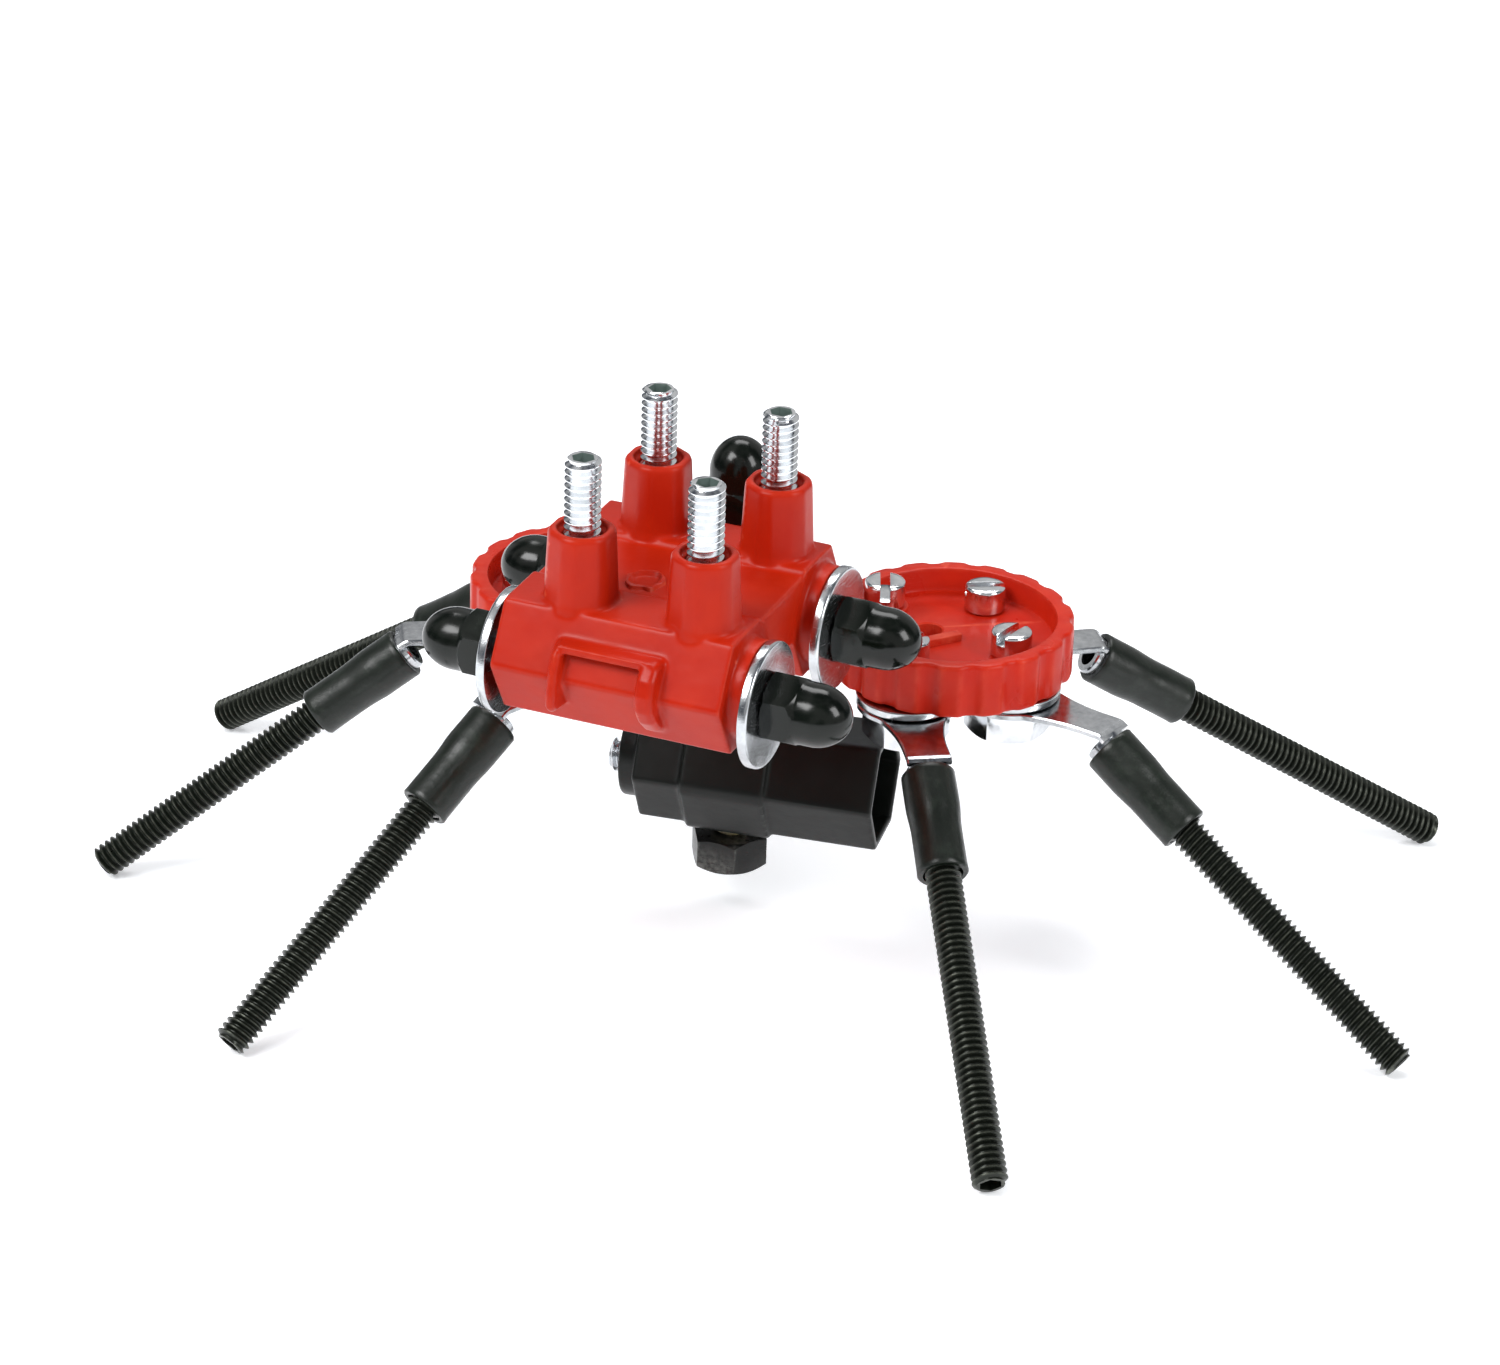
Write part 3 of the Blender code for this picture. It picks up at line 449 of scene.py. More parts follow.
def turn(bm, axis, center=(0, 0, 0)):
    rotation = Vector((0, 0, 1)).rotation_difference(Vector(axis)).to_matrix().to_4x4()
    bmesh.ops.transform(bm, matrix=Matrix.Translation(center) @ rotation, verts=bm.verts)
    return bm


def post(radius, low, high, spot, segments=64):
    """An upright cylinder at an (x, y) spot."""
    return turn(lathe([(radius, low), (radius, high)], segments), (0, 0, 1), (*spot, 0))


def on_circle(center, radius, angle):
    return center[0] + radius * math.cos(angle), center[1] + radius * math.sin(angle)


def about_z(angle):
    return Matrix.Rotation(angle, 4, "Z")


def merge(*parts):
    whole = bmesh.new()
    for part in parts:
        mesh = bpy.data.meshes.new("merge")
        part.to_mesh(mesh)
        part.free()
        whole.from_mesh(mesh)
        bpy.data.meshes.remove(mesh)
    return whole


def box(low, high):
    bm = bmesh.new()
    bmesh.ops.create_cube(bm, size=1.0)
    size = [b - a for a, b in zip(low, high)]
    middle = [(a + b) / 2 for a, b in zip(low, high)]
    matrix = Matrix.Translation(middle) @ Matrix.Diagonal((*size, 1.0))
    bmesh.ops.transform(bm, matrix=matrix, verts=bm.verts)
    return bm


def new_object(name, bm):
    bmesh.ops.recalc_face_normals(bm, faces=bm.faces)
    mesh = bpy.data.meshes.new(name)
    bm.to_mesh(mesh)
    bm.free()
    obj = bpy.data.objects.new(name, mesh)
    bpy.context.scene.collection.objects.link(obj)
    return obj


def boolean(obj, operation, bm):
    """Apply a Boolean with the bmesh's shape to the object's mesh."""
    tool = new_object("tool", bm)
    modifier = obj.modifiers.new("cut", "BOOLEAN")
    modifier.operation = operation
    modifier.solver = "EXACT"
    modifier.object = tool
    bake(obj)
    bpy.data.objects.remove(tool, do_unlink=True)


def bake(obj):
    """Replace the object's mesh by what its modifiers make of it."""
    bpy.context.view_layer.update()
    graph = bpy.context.evaluated_depsgraph_get()
    mesh = bpy.data.meshes.new_from_object(obj.evaluated_get(graph))
    obj.modifiers.clear()
    old = obj.data
    obj.data = mesh
    bpy.data.meshes.remove(old)


def bevel(obj, width, segments=2, angle=30):
    modifier = obj.modifiers.new("bevel", "BEVEL")
    modifier.width = width
    modifier.segments = segments
    modifier.limit_method = "ANGLE"
    modifier.angle_limit = math.radians(angle)
    bake(obj)


def soften(obj, voxel, rounds):
    """Remesh a moulded piece so that all its corners and joins get a small fillet."""
    remesh = obj.modifiers.new("remesh", "REMESH")
    remesh.mode = "VOXEL"
    remesh.voxel_size = voxel
    smooth = obj.modifiers.new("smooth", "SMOOTH")
    smooth.factor = 0.5
    smooth.iterations = rounds
    bake(obj)


def place(obj, material, body, nodes, matrix=None, angle=38, inner=None):
    """Finish a piece: its material, its place in the row frame, its body and what it stands for.

    The inner material goes on faces of material index 1, which are the sockets in screw ends.
    """
    obj.data.transform(TO_ROW @ (matrix or Matrix.Identity(4)))
    obj.data.shade_smooth()
    if angle:
        obj.data.set_sharp_from_angle(angle=math.radians(angle))
    if inner:
        obj.data.materials.append(material)
        obj.data.materials.append(inner)
    else:
        obj.data.materials.clear()
        obj.data.materials.append(material)
    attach(obj, body)
    if nodes:
        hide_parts(*nodes)
    return obj


def thread(length, segments=28, start_taper=True, end_taper=True, sockets=()):
    """A threaded shank from z = 0 to its length. Each socket is the end it opens at: 0 or 1."""
    bm = bmesh.new()
    crest, root = THREAD_R, THREAD_R - THREAD_DEPTH
    profile = ((0.0, crest), (0.14, crest), (0.5, root), (0.64, root))
    rows = []
    for lap in range(-2, int(length / PITCH) + 3):
        for share, radius in profile:
            row = []
            for i in range(segments):
                z = PITCH * (lap + share + i / segments)
                limit = crest
                if start_taper:
                    limit = min(limit, root + 0.0001 + 1.5 * max(z, 0.0))
                if end_taper:
                    limit = min(limit, root + 0.0001 + 1.5 * max(length - z, 0.0))
                angle = 2 * math.pi * i / segments
                r = min(radius, limit)
                row.append(bm.verts.new((r * math.cos(angle), r * math.sin(angle), z)))
            rows.append(row)
    lap_rows = len(profile)
    for j in range(len(rows) - 1):
        for i in range(segments - 1):
            bm.faces.new((rows[j][i], rows[j][i + 1], rows[j + 1][i + 1], rows[j + 1][i]))
        if j + 1 + lap_rows < len(rows):
            next_lap = rows[j + lap_rows:j + lap_rows + 2]
            bm.faces.new((rows[j][-1], next_lap[0][0], next_lap[1][0], rows[j + 1][-1]))
    for z, direction in ((0.0, -1), (length, 1)):
        geometry = list(bm.verts) + list(bm.edges) + list(bm.faces)
        bmesh.ops.bisect_plane(bm, geom=geometry, plane_co=(0, 0, z), plane_no=(0, 0, direction),
                               clear_outer=True)
    bmesh.ops.delete(bm, geom=[v for v in bm.verts if not v.link_faces], context="VERTS")
    for end, z in enumerate((0.0, length)):
        rim = [edge for edge in bm.edges
               if len(edge.link_faces) == 1 and all(abs(vert.co.z - z) < 1e-7 for vert in edge.verts)]
        if end in sockets:
            inward = 1 if end == 0 else -1
            mouth = [bm.verts.new((x, y, z)) for x, y in polygon(6, GRUB_SOCKET_FLATS / math.sqrt(3))]
            floor = [bm.verts.new((v.co.x, v.co.y, z + inward * GRUB_SOCKET_DEPTH)) for v in mouth]
            tip = bm.verts.new((0, 0, z + inward * (GRUB_SOCKET_DEPTH + 0.0006)))
            for i in range(6):
                j = (i + 1) % 6
                for corners in ((mouth[i], mouth[j], floor[j], floor[i]), (floor[i], floor[j], tip)):
                    bm.faces.new(corners).material_index = 1
                rim.append(bm.edges.get((mouth[i], mouth[j])))
            bmesh.ops.triangle_fill(bm, use_beauty=True, edges=rim)
        else:
            bmesh.ops.contextual_create(bm, geom=rim)
    return bm


def hexagon(flats, turned=0.0):
    return polygon(6, flats / math.sqrt(3), turned)


def soft_hexagon(radius, count=96):
    """A circle with six flats, the first facing +X."""
    ring = []
    for i in range(count):
        angle = 2 * math.pi * i / count
        across = (angle + math.pi / 6) % (math.pi / 3) - math.pi / 6
        reach = min(radius, TOWER_FLAT * radius / math.cos(across))
        ring.append((reach * math.cos(angle), reach * math.sin(angle)))
    return ring


def hex_solid(flats, profile, bore_r=None):
    """A hexagonal prism trimmed by a turned profile, as a nut or bolt head is chamfered."""
    low, high = min(z for _, z in profile), max(z for _, z in profile)
    obj = new_object("hex", lathe(profile, 72))
    boolean(obj, "INTERSECT", loft([(hexagon(flats), low - 0.001), (hexagon(flats), high + 0.001)]))
    if bore_r:
        boolean(obj, "DIFFERENCE", lathe([(bore_r, low - 0.001), (bore_r, high + 0.001)], 40))
    return obj


# ---------- red block ----------

def hex_bar(flats, left, right, y, z, round_r=0.0):
    corners = hexagon(flats)
    outline = rounded(corners, [round_r] * 6, 4) if round_r else corners
    bar = loft([(outline, left), (outline, right)])
    for vert in bar.verts:
        a, b, along = vert.co
        vert.co = (along, y + a, z + b)
    return bar


def rod_bar(radius, left, right, y, z, segments=64):
    bar = loft([(polygon(segments, radius), left), (polygon(segments, radius), right)])
    return turn(bar, (1, 0, 0), (0, y, z))


def tower_spots():
    return [(sx * TOWER_PITCH / 2, sy * TUBE_PITCH / 2) for sy in (-1, 1) for sx in (-1, 1)]


def hood(side):
    """A thin ear, a wide ear and the plate that joins their tops."""
    y0 = side * TUBE_PITCH / 2
    parts = []
    for outline, x, width in ((THIN_EAR_OUTLINE, HOOD_LEFT_X, THIN_EAR),
                              (WIDE_EAR_OUTLINE, HOOD_RIGHT_X - WIDE_EAR, WIDE_EAR)):
        smooth = rounded(outline, [0] + [EAR_CORNER_R] * (len(outline) - 2) + [0], 3)
        slim = [(reach - EAR_END_CUT, rise * EAR_END_SCALE) for reach, rise in smooth]
        ear = loft([(slim, x), (smooth, x + EAR_EDGE), (smooth, x + width - EAR_EDGE), (slim, x + width)])
        for vert in ear.verts:
            reach, rise, along = vert.co
            vert.co = (along, y0 + side * reach, TUBE_Z + rise)
        parts.append(ear)
    ends = (y0 + side * 0.004, y0 + side * HOOD_PLATE_REACH)
    parts.append(box((HOOD_LEFT_X + THIN_EAR / 2, min(ends), TUBE_Z + HOOD_TOP - HOOD_PLATE_T),
                     (HOOD_RIGHT_X - WIDE_EAR / 2, max(ends), TUBE_Z + HOOD_TOP)))
    return parts


def build_block():
    rows = (-TUBE_PITCH / 2, TUBE_PITCH / 2)
    top_z = TUBE_Z + HEX_FLATS / 2
    web_top = top_z - WEB_DROP
    solids = []
    for y in rows:
        solids.append(hex_bar(HEX_FLATS, TUBE_LEFT_X, TUBE_RIGHT_X, y, TUBE_Z, TUBE_CORNER_R))
        solids.append(rod_bar(NECK_R, TUBE_RIGHT_X - 0.001, NECK_END_X, y, TUBE_Z))
    solids.append(box((TUBE_LEFT_X + 0.0002, rows[0], web_top - WEB_HEIGHT),
                      (TUBE_RIGHT_X - 0.0002, rows[1], web_top)))
    for x, y in tower_spots():
        profile = [(TOWER_FOOT_R + 0.0003, top_z - 0.003), (TOWER_FOOT_R + 0.0002, top_z),
                   (TOWER_FOOT_R, top_z + 0.0007), (TOWER_TOP_R, TOWER_TOP_Z - 0.0008),
                   (TOWER_TOP_R - 0.0002, TOWER_TOP_Z - 0.0003), (TOWER_TOP_R - 0.0007, TOWER_TOP_Z)]
        tower = loft([(soft_hexagon(radius), z) for radius, z in profile])
        solids.append(turn(tower, (0, 0, 1), (x, y, 0)))
    for side in (-1, 1):
        solids.extend(hood(side))
    foot = WASHER_TOP_Z + GAP
    solids.append(post(PILLAR_R, foot, PILLAR_TOP_Z, BOLT_XY))
    half = PILLAR_R * 0.7
    solids.append(box((BOLT_XY[0] - half, rows[1], PILLAR_ARM_LOW_Z),
                      (BOLT_XY[0] + half, BOLT_XY[1], PILLAR_ARM_TOP_Z)))
    block = new_object("block_shell", merge(*solids))
    remesh = block.modifiers.new("union", "REMESH")
    remesh.mode = "VOXEL"
    remesh.voxel_size = BLOCK_VOXEL
    bake(block)
    cuts = []
    for y in rows:
        cuts.append(hex_bar(HEX_FLATS - 2 * HEX_WALL, TUBE_LEFT_X - 0.001, TUBE_RIGHT_X - 0.002, y,
                            TUBE_Z))
        cuts.append(rod_bar(NECK_BORE_R, TUBE_RIGHT_X - 0.0025, NECK_END_X + 0.001, y, TUBE_Z))
    for x, y in tower_spots():
        step_z = TOWER_TOP_Z - TOWER_BORE_DEPTH
        bore = lathe([(HOLE_R, TUBE_Z + 0.004), (HOLE_R, step_z), (TOWER_BORE_R, step_z + 0.0002),
                      (TOWER_BORE_R, TOWER_TOP_Z + 0.001)], 48)
        cuts.append(turn(bore, (0, 0, 1), (x, y, 0)))
    cuts.append(post(HOLE_R, 0.04, 0.09, BOLT_XY, 40))
    for cut in cuts:
        boolean(block, "DIFFERENCE", cut)
    soften(block, SOFT_VOXEL, 7)
    place(block, RED, "block", ["body_block"], angle=0)
    build_gate_mark(web_top)


def build_gate_mark(web_top):
    """Uneven ring left on the web by moulding."""
    mark = lathe(rounded(MARK_OUTLINE, [0, 0, 0.0002, 0.0002, 0.0002, 0], 3, closed=False), 56)
    for vert in mark.verts:
        vert.co *= 1 + 0.30 * noise.noise(vert.co * 500)
    gate = new_object("block_gate_mark", mark)
    place(gate, RED, "block", [], Matrix.Translation((*MARK_XY, web_top - 0.00005)), 30)


def build_grubs():
    foot_z = AXLE_Z + THREAD_R + 0.0005
    names = ("front_left", "front_right", "rear_left", "rear_right")
    for index, (name, (x, y)) in enumerate(zip(names, tower_spots())):
        screw = new_object(f"set_screw_{name}", thread(GRUB_TOP_Z - foot_z, sockets=(1,)))
        spin = Matrix.Translation((x, y, foot_z)) @ about_z(GRUB_TURN * index)
        # The socket faces of the set screws get the painted socket shade.
        place(screw, SCREW_ZINC, f"grub_{name}", [f"grub_screw_{name}"], spin, 50, SOCKET_PAINTED_SHADE)


# ---------- axles ----------

def cap_nut(name):
    """Cap nut: chamfered hexagon, bullet dome and a blind bore."""
    corner = CAP_FLATS / math.sqrt(3)
    straight = CAP_HEX_LENGTH + 0.0022
    profile = [(corner - 0.0007, 0), (corner, 0.0005), (corner, CAP_HEX_LENGTH - 0.0012),
               (CAP_DOME_R + 0.0001, CAP_HEX_LENGTH - 0.0001), (CAP_DOME_R, CAP_HEX_LENGTH + 0.0004),
               (CAP_DOME_R, straight)]
    for step in range(1, 15):
        angle = step * math.pi / 2 / 15
        rise = (CAP_LENGTH - straight) * math.sin(angle)
        profile.append((CAP_DOME_R * math.cos(angle), straight + rise))
    profile.append((CAP_DOME_R * 0.03, CAP_LENGTH))
    cap = hex_solid(CAP_FLATS, profile)
    boolean(cap, "DIFFERENCE", lathe([(HOLE_R, -0.001), (HOLE_R, CAP_BORE_DEPTH)], 40))
    bevel(cap, 0.00014, 2, 25)
    cap.name = name
    return cap


def along(axis, center):
    """Matrix that lays a piece's Z along the axis."""
    rotation = Vector((0, 0, 1)).rotation_difference(Vector(axis)).to_matrix().to_4x4()
    return Matrix.Translation(center) @ rotation


def build_axles():
    faces = {"left": TUBE_LEFT_X - LEFT_WASHER_GAP, "right": NECK_END_X + GAP}
    for row, y in (("front", -TUBE_PITCH / 2), ("rear", TUBE_PITCH / 2)):
        ends = []
        for side, sign in (("left", -1), ("right", 1)):
            face = faces[side]
            corners = [(WASHER_R, 0), (WASHER_R, WASHER_T), (HOLE_R, WASHER_T), (HOLE_R, 0)]
            ring = lathe(rounded(corners, [0.0002, 0.0006, 0.0002, 0.0001], 4), 96, True)
            washer = new_object(f"{row}_flat_washer_{side}", ring)
            place(washer, ZINC, f"{row}_axle", [f"{row}_washer_{side}"],
                  along((sign, 0, 0), (face, y, AXLE_Z)), 50)
            foot = face + sign * (WASHER_T + GAP)
            cap = cap_nut(f"{row}_dome_nut_{side}")
            place(cap, BLACK, f"{row}_axle", [f"{row}_cap_nut_{side}"],
                  along((sign, 0, 0), (foot, y, AXLE_Z)), 32)
            ends.append(foot + sign * AXLE_ENGAGEMENT)
        rod = new_object(f"{row}_threaded_axle", thread(ends[1] - ends[0]))
        place(rod, ZINC, f"{row}_axle", [f"{row}_axle_rod"],
              along((1, 0, 0), (ends[0], y, AXLE_Z)), 50)


# ---------- discs ----------

def screw_positions(center, pattern):
    return [on_circle(center, SCREW_CIRCLE_R, pattern + i * math.pi / 2) for i in range(4)]


def anchor_spot(center, pattern):
    """The disc's screw nearest the centre bolt: the one that holds the disc to the bridge."""
    return min(screw_positions(center, pattern), key=lambda spot: math.dist(spot, BOLT_XY))


def scallops(inset, per_lobe=14):
    """Outline of broad lobes with narrower valleys between them, moved inwards by the inset."""
    ring = []
    count = DISC_SCALLOPS * per_lobe
    for i in range(count):
        across = abs(2 * (i % per_lobe) / per_lobe - 1)
        fall = min(max((across - 0.42) / 0.40, 0.0), 1.0)
        fall = fall * fall * (3 - 2 * fall)
        angle = 2 * math.pi * i / count
        nick = 0.00006 * noise.noise(Vector((9 * math.cos(angle), 9 * math.sin(angle), inset * 900)))
        radius = DISC_PEAK_R - (DISC_PEAK_R - DISC_NOTCH_R) * fall - inset + nick
        ring.append((radius * math.cos(angle), radius * math.sin(angle)))
    return ring


def build_disc(side, center, pattern):
    bottom = DISC_TOP_Z - DISC_THICKNESS
    floor = DISC_TOP_Z - DISC_RECESS
    anchor = Vector(anchor_spot(center, pattern))
    middle = Vector(center) + Vector(RIM_SHIFT[side])
    inward = (anchor - middle).normalized()
    hole = inward * DISC_HOLE_OFFSET
    outside = [(0.0007, bottom), (0.0003, bottom + 0.00012), (0.0001, bottom + 0.0004),
               (0.0, bottom + 0.0008), (0.0, DISC_TOP_Z - 0.0008), (0.0001, DISC_TOP_Z - 0.0004),
               (0.0003, DISC_TOP_Z - 0.00015), (0.0006, DISC_TOP_Z)]
    sections = [(scallops(inset), z) for inset, z in outside]
    count = len(sections[0][0])
    inside = [(DISC_RIM_R + 0.0004, DISC_TOP_Z, 0), (DISC_RIM_R + 0.0001, DISC_TOP_Z - 0.0001, 0),
              (DISC_RIM_R - 0.0001, DISC_TOP_Z - 0.0005, 0), (DISC_RIM_R - 0.0003, floor + 0.0009, 0),
              (DISC_RIM_R - 0.0006, floor + 0.0003, 0), (DISC_RIM_R - 0.0012, floor, 0),
              (DISC_FLOOR_MID_R, floor, 0.4), (DISC_HOLE_R + 0.0003, floor, 1),
              (DISC_HOLE_R, floor - 0.0002, 1), (DISC_HOLE_R, bottom + 0.0001, 1),
              (DISC_HOLE_R + 0.0001, bottom, 1), (DISC_FLOOR_MID_R, bottom, 0.4)]
    for radius, z, shift in inside:
        ring = [(x + hole.x * shift, y + hole.y * shift) for x, y in polygon(count, radius)]
        sections.append((ring, z))
    body = loft(sections, closed=True)
    low = floor - 0.0003
    boss = lathe(rounded([(0.0001, low), (BOSS_R + 0.0001, low), (BOSS_R, floor + BOSS_HEIGHT),
                          (0.0001, floor + BOSS_HEIGHT)], [0, 0, 0.0004, 0], 4, closed=False), 56)
    bmesh.ops.translate(boss, vec=(*(anchor - middle), 0), verts=boss.verts)
    disc = new_object(f"{side}_scalloped_disc", merge(body, boss, disc_rib(low, floor + RIB_HEIGHT)))
    place(disc, RED_DISC, f"{side}_wheel", [f"{side}_disc"],
          Matrix.Translation((*middle, 0)), 30)
    matrix = Matrix.Translation((*anchor, 0)) @ about_z(ANCHOR_SLOT_TURN)
    slotted_screw(f"{side}_inner_screw", "frame", f"{side}_anchor_screw", floor + BOSS_HEIGHT,
                  LUG_Z - LUG_T, matrix, ANCHOR_SLOT_DEPTH)


def disc_rib(low, top):
    """Slanted rib on the floor of the disc's recess."""
    profile = rounded([(-RIB_HALF, low), (RIB_HALF, low), (RIB_HALF, top), (-RIB_HALF, top)],
                      [0, 0, 0.0003, 0.0003], 3)
    rib = loft([(profile, 0), (profile, RIB_LENGTH)])
    run = Vector((math.cos(RIB_HEADING), math.sin(RIB_HEADING)))
    across = Vector((math.sin(RIB_HEADING), -math.cos(RIB_HEADING)))
    for vert in rib.verts:
        spot = Vector(RIB_START) + across * vert.co.x + run * vert.co.z
        vert.co = (spot.x, spot.y, vert.co.y)
    return rib


def slotted_screw(name, body, node, floor_z, end_z, matrix, slot_depth=SCREW_SLOT_DEPTH):
    """Cheese-head screw with a rounded crown and a straight slot, on a threaded shank."""
    foot = floor_z + GAP
    top = foot + SCREW_HEAD_HEIGHT
    profile = rounded([(THREAD_R - 0.0004, foot), (SCREW_HEAD_R, foot), (SCREW_HEAD_R, top - 0.0002),
                       (SCREW_HEAD_R - 0.001, top), (0.0001, top + 0.0001)],
                      [0, 0.0002, 0.0006, 0.0008, 0], 4, closed=False)
    head = new_object(name, lathe(profile, 48))
    reach = SCREW_HEAD_R + 0.001
    boolean(head, "DIFFERENCE", box((-reach, -SCREW_SLOT / 2, top - slot_depth),
                                    (reach, SCREW_SLOT / 2, top + 0.001)))
    bevel(head, 0.00012, 2, 40)
    shank = thread(foot - end_z + 0.0003, end_taper=False)
    bmesh.ops.translate(shank, vec=(0, 0, end_z), verts=shank.verts)
    whole = bmesh.new()
    whole.from_mesh(head.data)
    joined = merge(whole, shank)
    joined.to_mesh(head.data)
    joined.free()
    place(head, SCREW_ZINC, body, [node], matrix, 45)


# ---------- legs ----------

def leg_pitch(free_length):
    pitch = math.radians(34)
    for _ in range(20):
        drop = LUG_Z - (THREAD_R - STUD_CHAMFER) * math.cos(pitch)
        pitch = math.asin(drop / (ELBOW_TO_SLEEVE + SLEEVE_LENGTH + free_length))
    return pitch


def lug_half_width(x):
    eye_end = LUG_EYE_R * math.cos(LUG_EYE_END)
    if x <= eye_end:
        return math.sqrt(max(LUG_EYE_R ** 2 - x * x, 0.0002 ** 2))
    start = LUG_EYE_R * math.sin(LUG_EYE_END)
    reach = min((x - eye_end) / LUG_TAPER, 1.0)
    return LUG_NECK_HALF + (start - LUG_NECK_HALF) * (1 - reach) ** 2


def leg_matrix(pitch, distance):
    axis = Vector((math.cos(pitch), 0, -math.sin(pitch)))
    start = Vector((ELBOW_REACH, 0, LUG_Z)) + axis * distance
    return Matrix.Translation(start) @ Matrix.Rotation(math.pi / 2 + pitch, 4, "Y")


def lug_strip(pitch):
    """The lug's plate: eye, neck and bend, with rounded long edges."""
    offset = BARREL_R - LUG_T / 2 - BARREL_SHOULDER
    corner = ELBOW_REACH + offset / math.sin(pitch)
    tangent = LUG_BEND_R * math.tan(pitch / 2)
    flat_end = corner - tangent
    run = ELBOW_TO_SLEEVE - 0.0005 - offset / math.tan(pitch) - tangent
    eye = [-LUG_EYE_R * math.cos(math.radians(degrees)) for degrees in range(2, 138, 4)]
    stations = [(x, x, 0.0, 0.0) for x in eye]
    last = stations[-1][0]
    steps = 16
    neck = [last + (flat_end - last) * step / steps for step in range(1, steps + 1)]
    stations += [(x, x, 0.0, 0.0) for x in neck]
    for step in range(1, 9):
        angle = pitch * step / 8
        stations.append((LUG_NECK_END, flat_end + LUG_BEND_R * math.sin(angle),
                         -LUG_BEND_R * (1 - math.cos(angle)), angle))
    x, z = stations[-1][1:3]
    stations.append((LUG_NECK_END, x + run * math.cos(pitch), z - run * math.sin(pitch), pitch))
    soft = 0.00025
    half_t = LUG_T / 2
    ring = [(-1, -soft, -half_t), (1, -soft, -half_t), (1, 0, -half_t + soft), (1, 0, half_t - soft),
            (1, -soft, half_t), (-1, -soft, half_t), (-1, 0, half_t - soft), (-1, 0, -half_t + soft)]
    bm = bmesh.new()
    rings = []
    for width_x, x, z, angle in stations:
        half = max(lug_half_width(width_x), 0.0004)
        normal = Vector((math.sin(angle), 0, math.cos(angle)))
        center = Vector((x, 0, z))
        rings.append([bm.verts.new(center + Vector((0, sign * (half + inset), 0)) + normal * rise)
                      for sign, inset, rise in ring])
    bm.faces.new(rings[0])
    bm.faces.new(rings[-1])
    for low, high in zip(rings, rings[1:]):
        for i in range(len(ring)):
            j = (i + 1) % len(ring)
            bm.faces.new((low[i], low[j], high[j], high[i]))
    bmesh.ops.translate(bm, vec=(0, 0, LUG_Z), verts=bm.verts)
    return bm


def build_lug(name, pitch, matrix):
    lug = new_object(f"{name}_ring_lug", lug_strip(pitch))
    start = ELBOW_TO_SLEEVE - BARREL_BARE
    solid = loft([(polygon(56, BARREL_R - 0.0003, 0.05), 0), (polygon(56, BARREL_R, 0.05), 0.0003),
                  (polygon(56, BARREL_R, 0.05), BARREL_LENGTH)])
    bmesh.ops.transform(solid, matrix=leg_matrix(pitch, start), verts=solid.verts)
    boolean(lug, "UNION", solid)
    circle = polygon(48, BARREL_BORE_R, 0.03)
    bore = loft([(circle, -0.001), (circle, BARREL_LENGTH + 0.001)])
    bmesh.ops.transform(bore, matrix=leg_matrix(pitch, start), verts=bore.verts)
    boolean(lug, "DIFFERENCE", bore)
    boolean(lug, "DIFFERENCE", lathe([(HOLE_R, LUG_Z - 0.003), (HOLE_R, LUG_Z + 0.003)], 48))
    place(lug, LUG_TIN, f"{name}_leg", [f"{name}_lug"], matrix, 35)


def build_sleeve(name, seed, pitch, matrix):
    """Shrunk sleeve: wide over the barrel, narrower over the stud, slightly wavy and cut square."""
    depth = BARREL_LENGTH - BARREL_BARE + GAP
    outside = [(0.0, SLEEVE_TOP_R - 0.00025), (0.0003, SLEEVE_TOP_R)]
    steps = 22
    for step in range(1, steps):
        t = 0.0003 + (SLEEVE_LENGTH - 0.0006) * step / steps
        blend = min(max((t - depth + 0.001) / 0.005, 0.0), 1.0)
        blend = blend * blend * (3 - 2 * blend)
        outside.append((t, SLEEVE_TOP_R + (SLEEVE_FOOT_R - SLEEVE_TOP_R) * blend))
    outside.append((SLEEVE_LENGTH - 0.0003, SLEEVE_FOOT_R + 0.00005))
    outside.append((SLEEVE_LENGTH, SLEEVE_FOOT_R - 0.0002))
    inside = [(SLEEVE_LENGTH, HOLE_R + 0.0001), (SLEEVE_LENGTH - 0.0003, HOLE_R), (depth, HOLE_R),
              (depth, BARREL_R + 0.0001), (0.0, BARREL_R + 0.0001)]
    sleeve_bm = lathe([(r, t) for t, r in outside + inside], 56, True)
    for vert in sleeve_bm.verts:
        r = math.hypot(vert.co.x, vert.co.y)
        if r > BARREL_R + 0.0004:
            wave = noise.noise(Vector((vert.co.x * 130, vert.co.y * 130, vert.co.z * 120 + seed * 7.3)))
            grow = 1 + SLEEVE_WAVE * wave
            vert.co.x *= grow
            vert.co.y *= grow
    sleeve = new_object(f"{name}_shrunk_sleeve", sleeve_bm)
    place(sleeve, SLEEVE, f"{name}_leg", [f"{name}_sleeve"],
          matrix @ leg_matrix(pitch, ELBOW_TO_SLEEVE), 45)


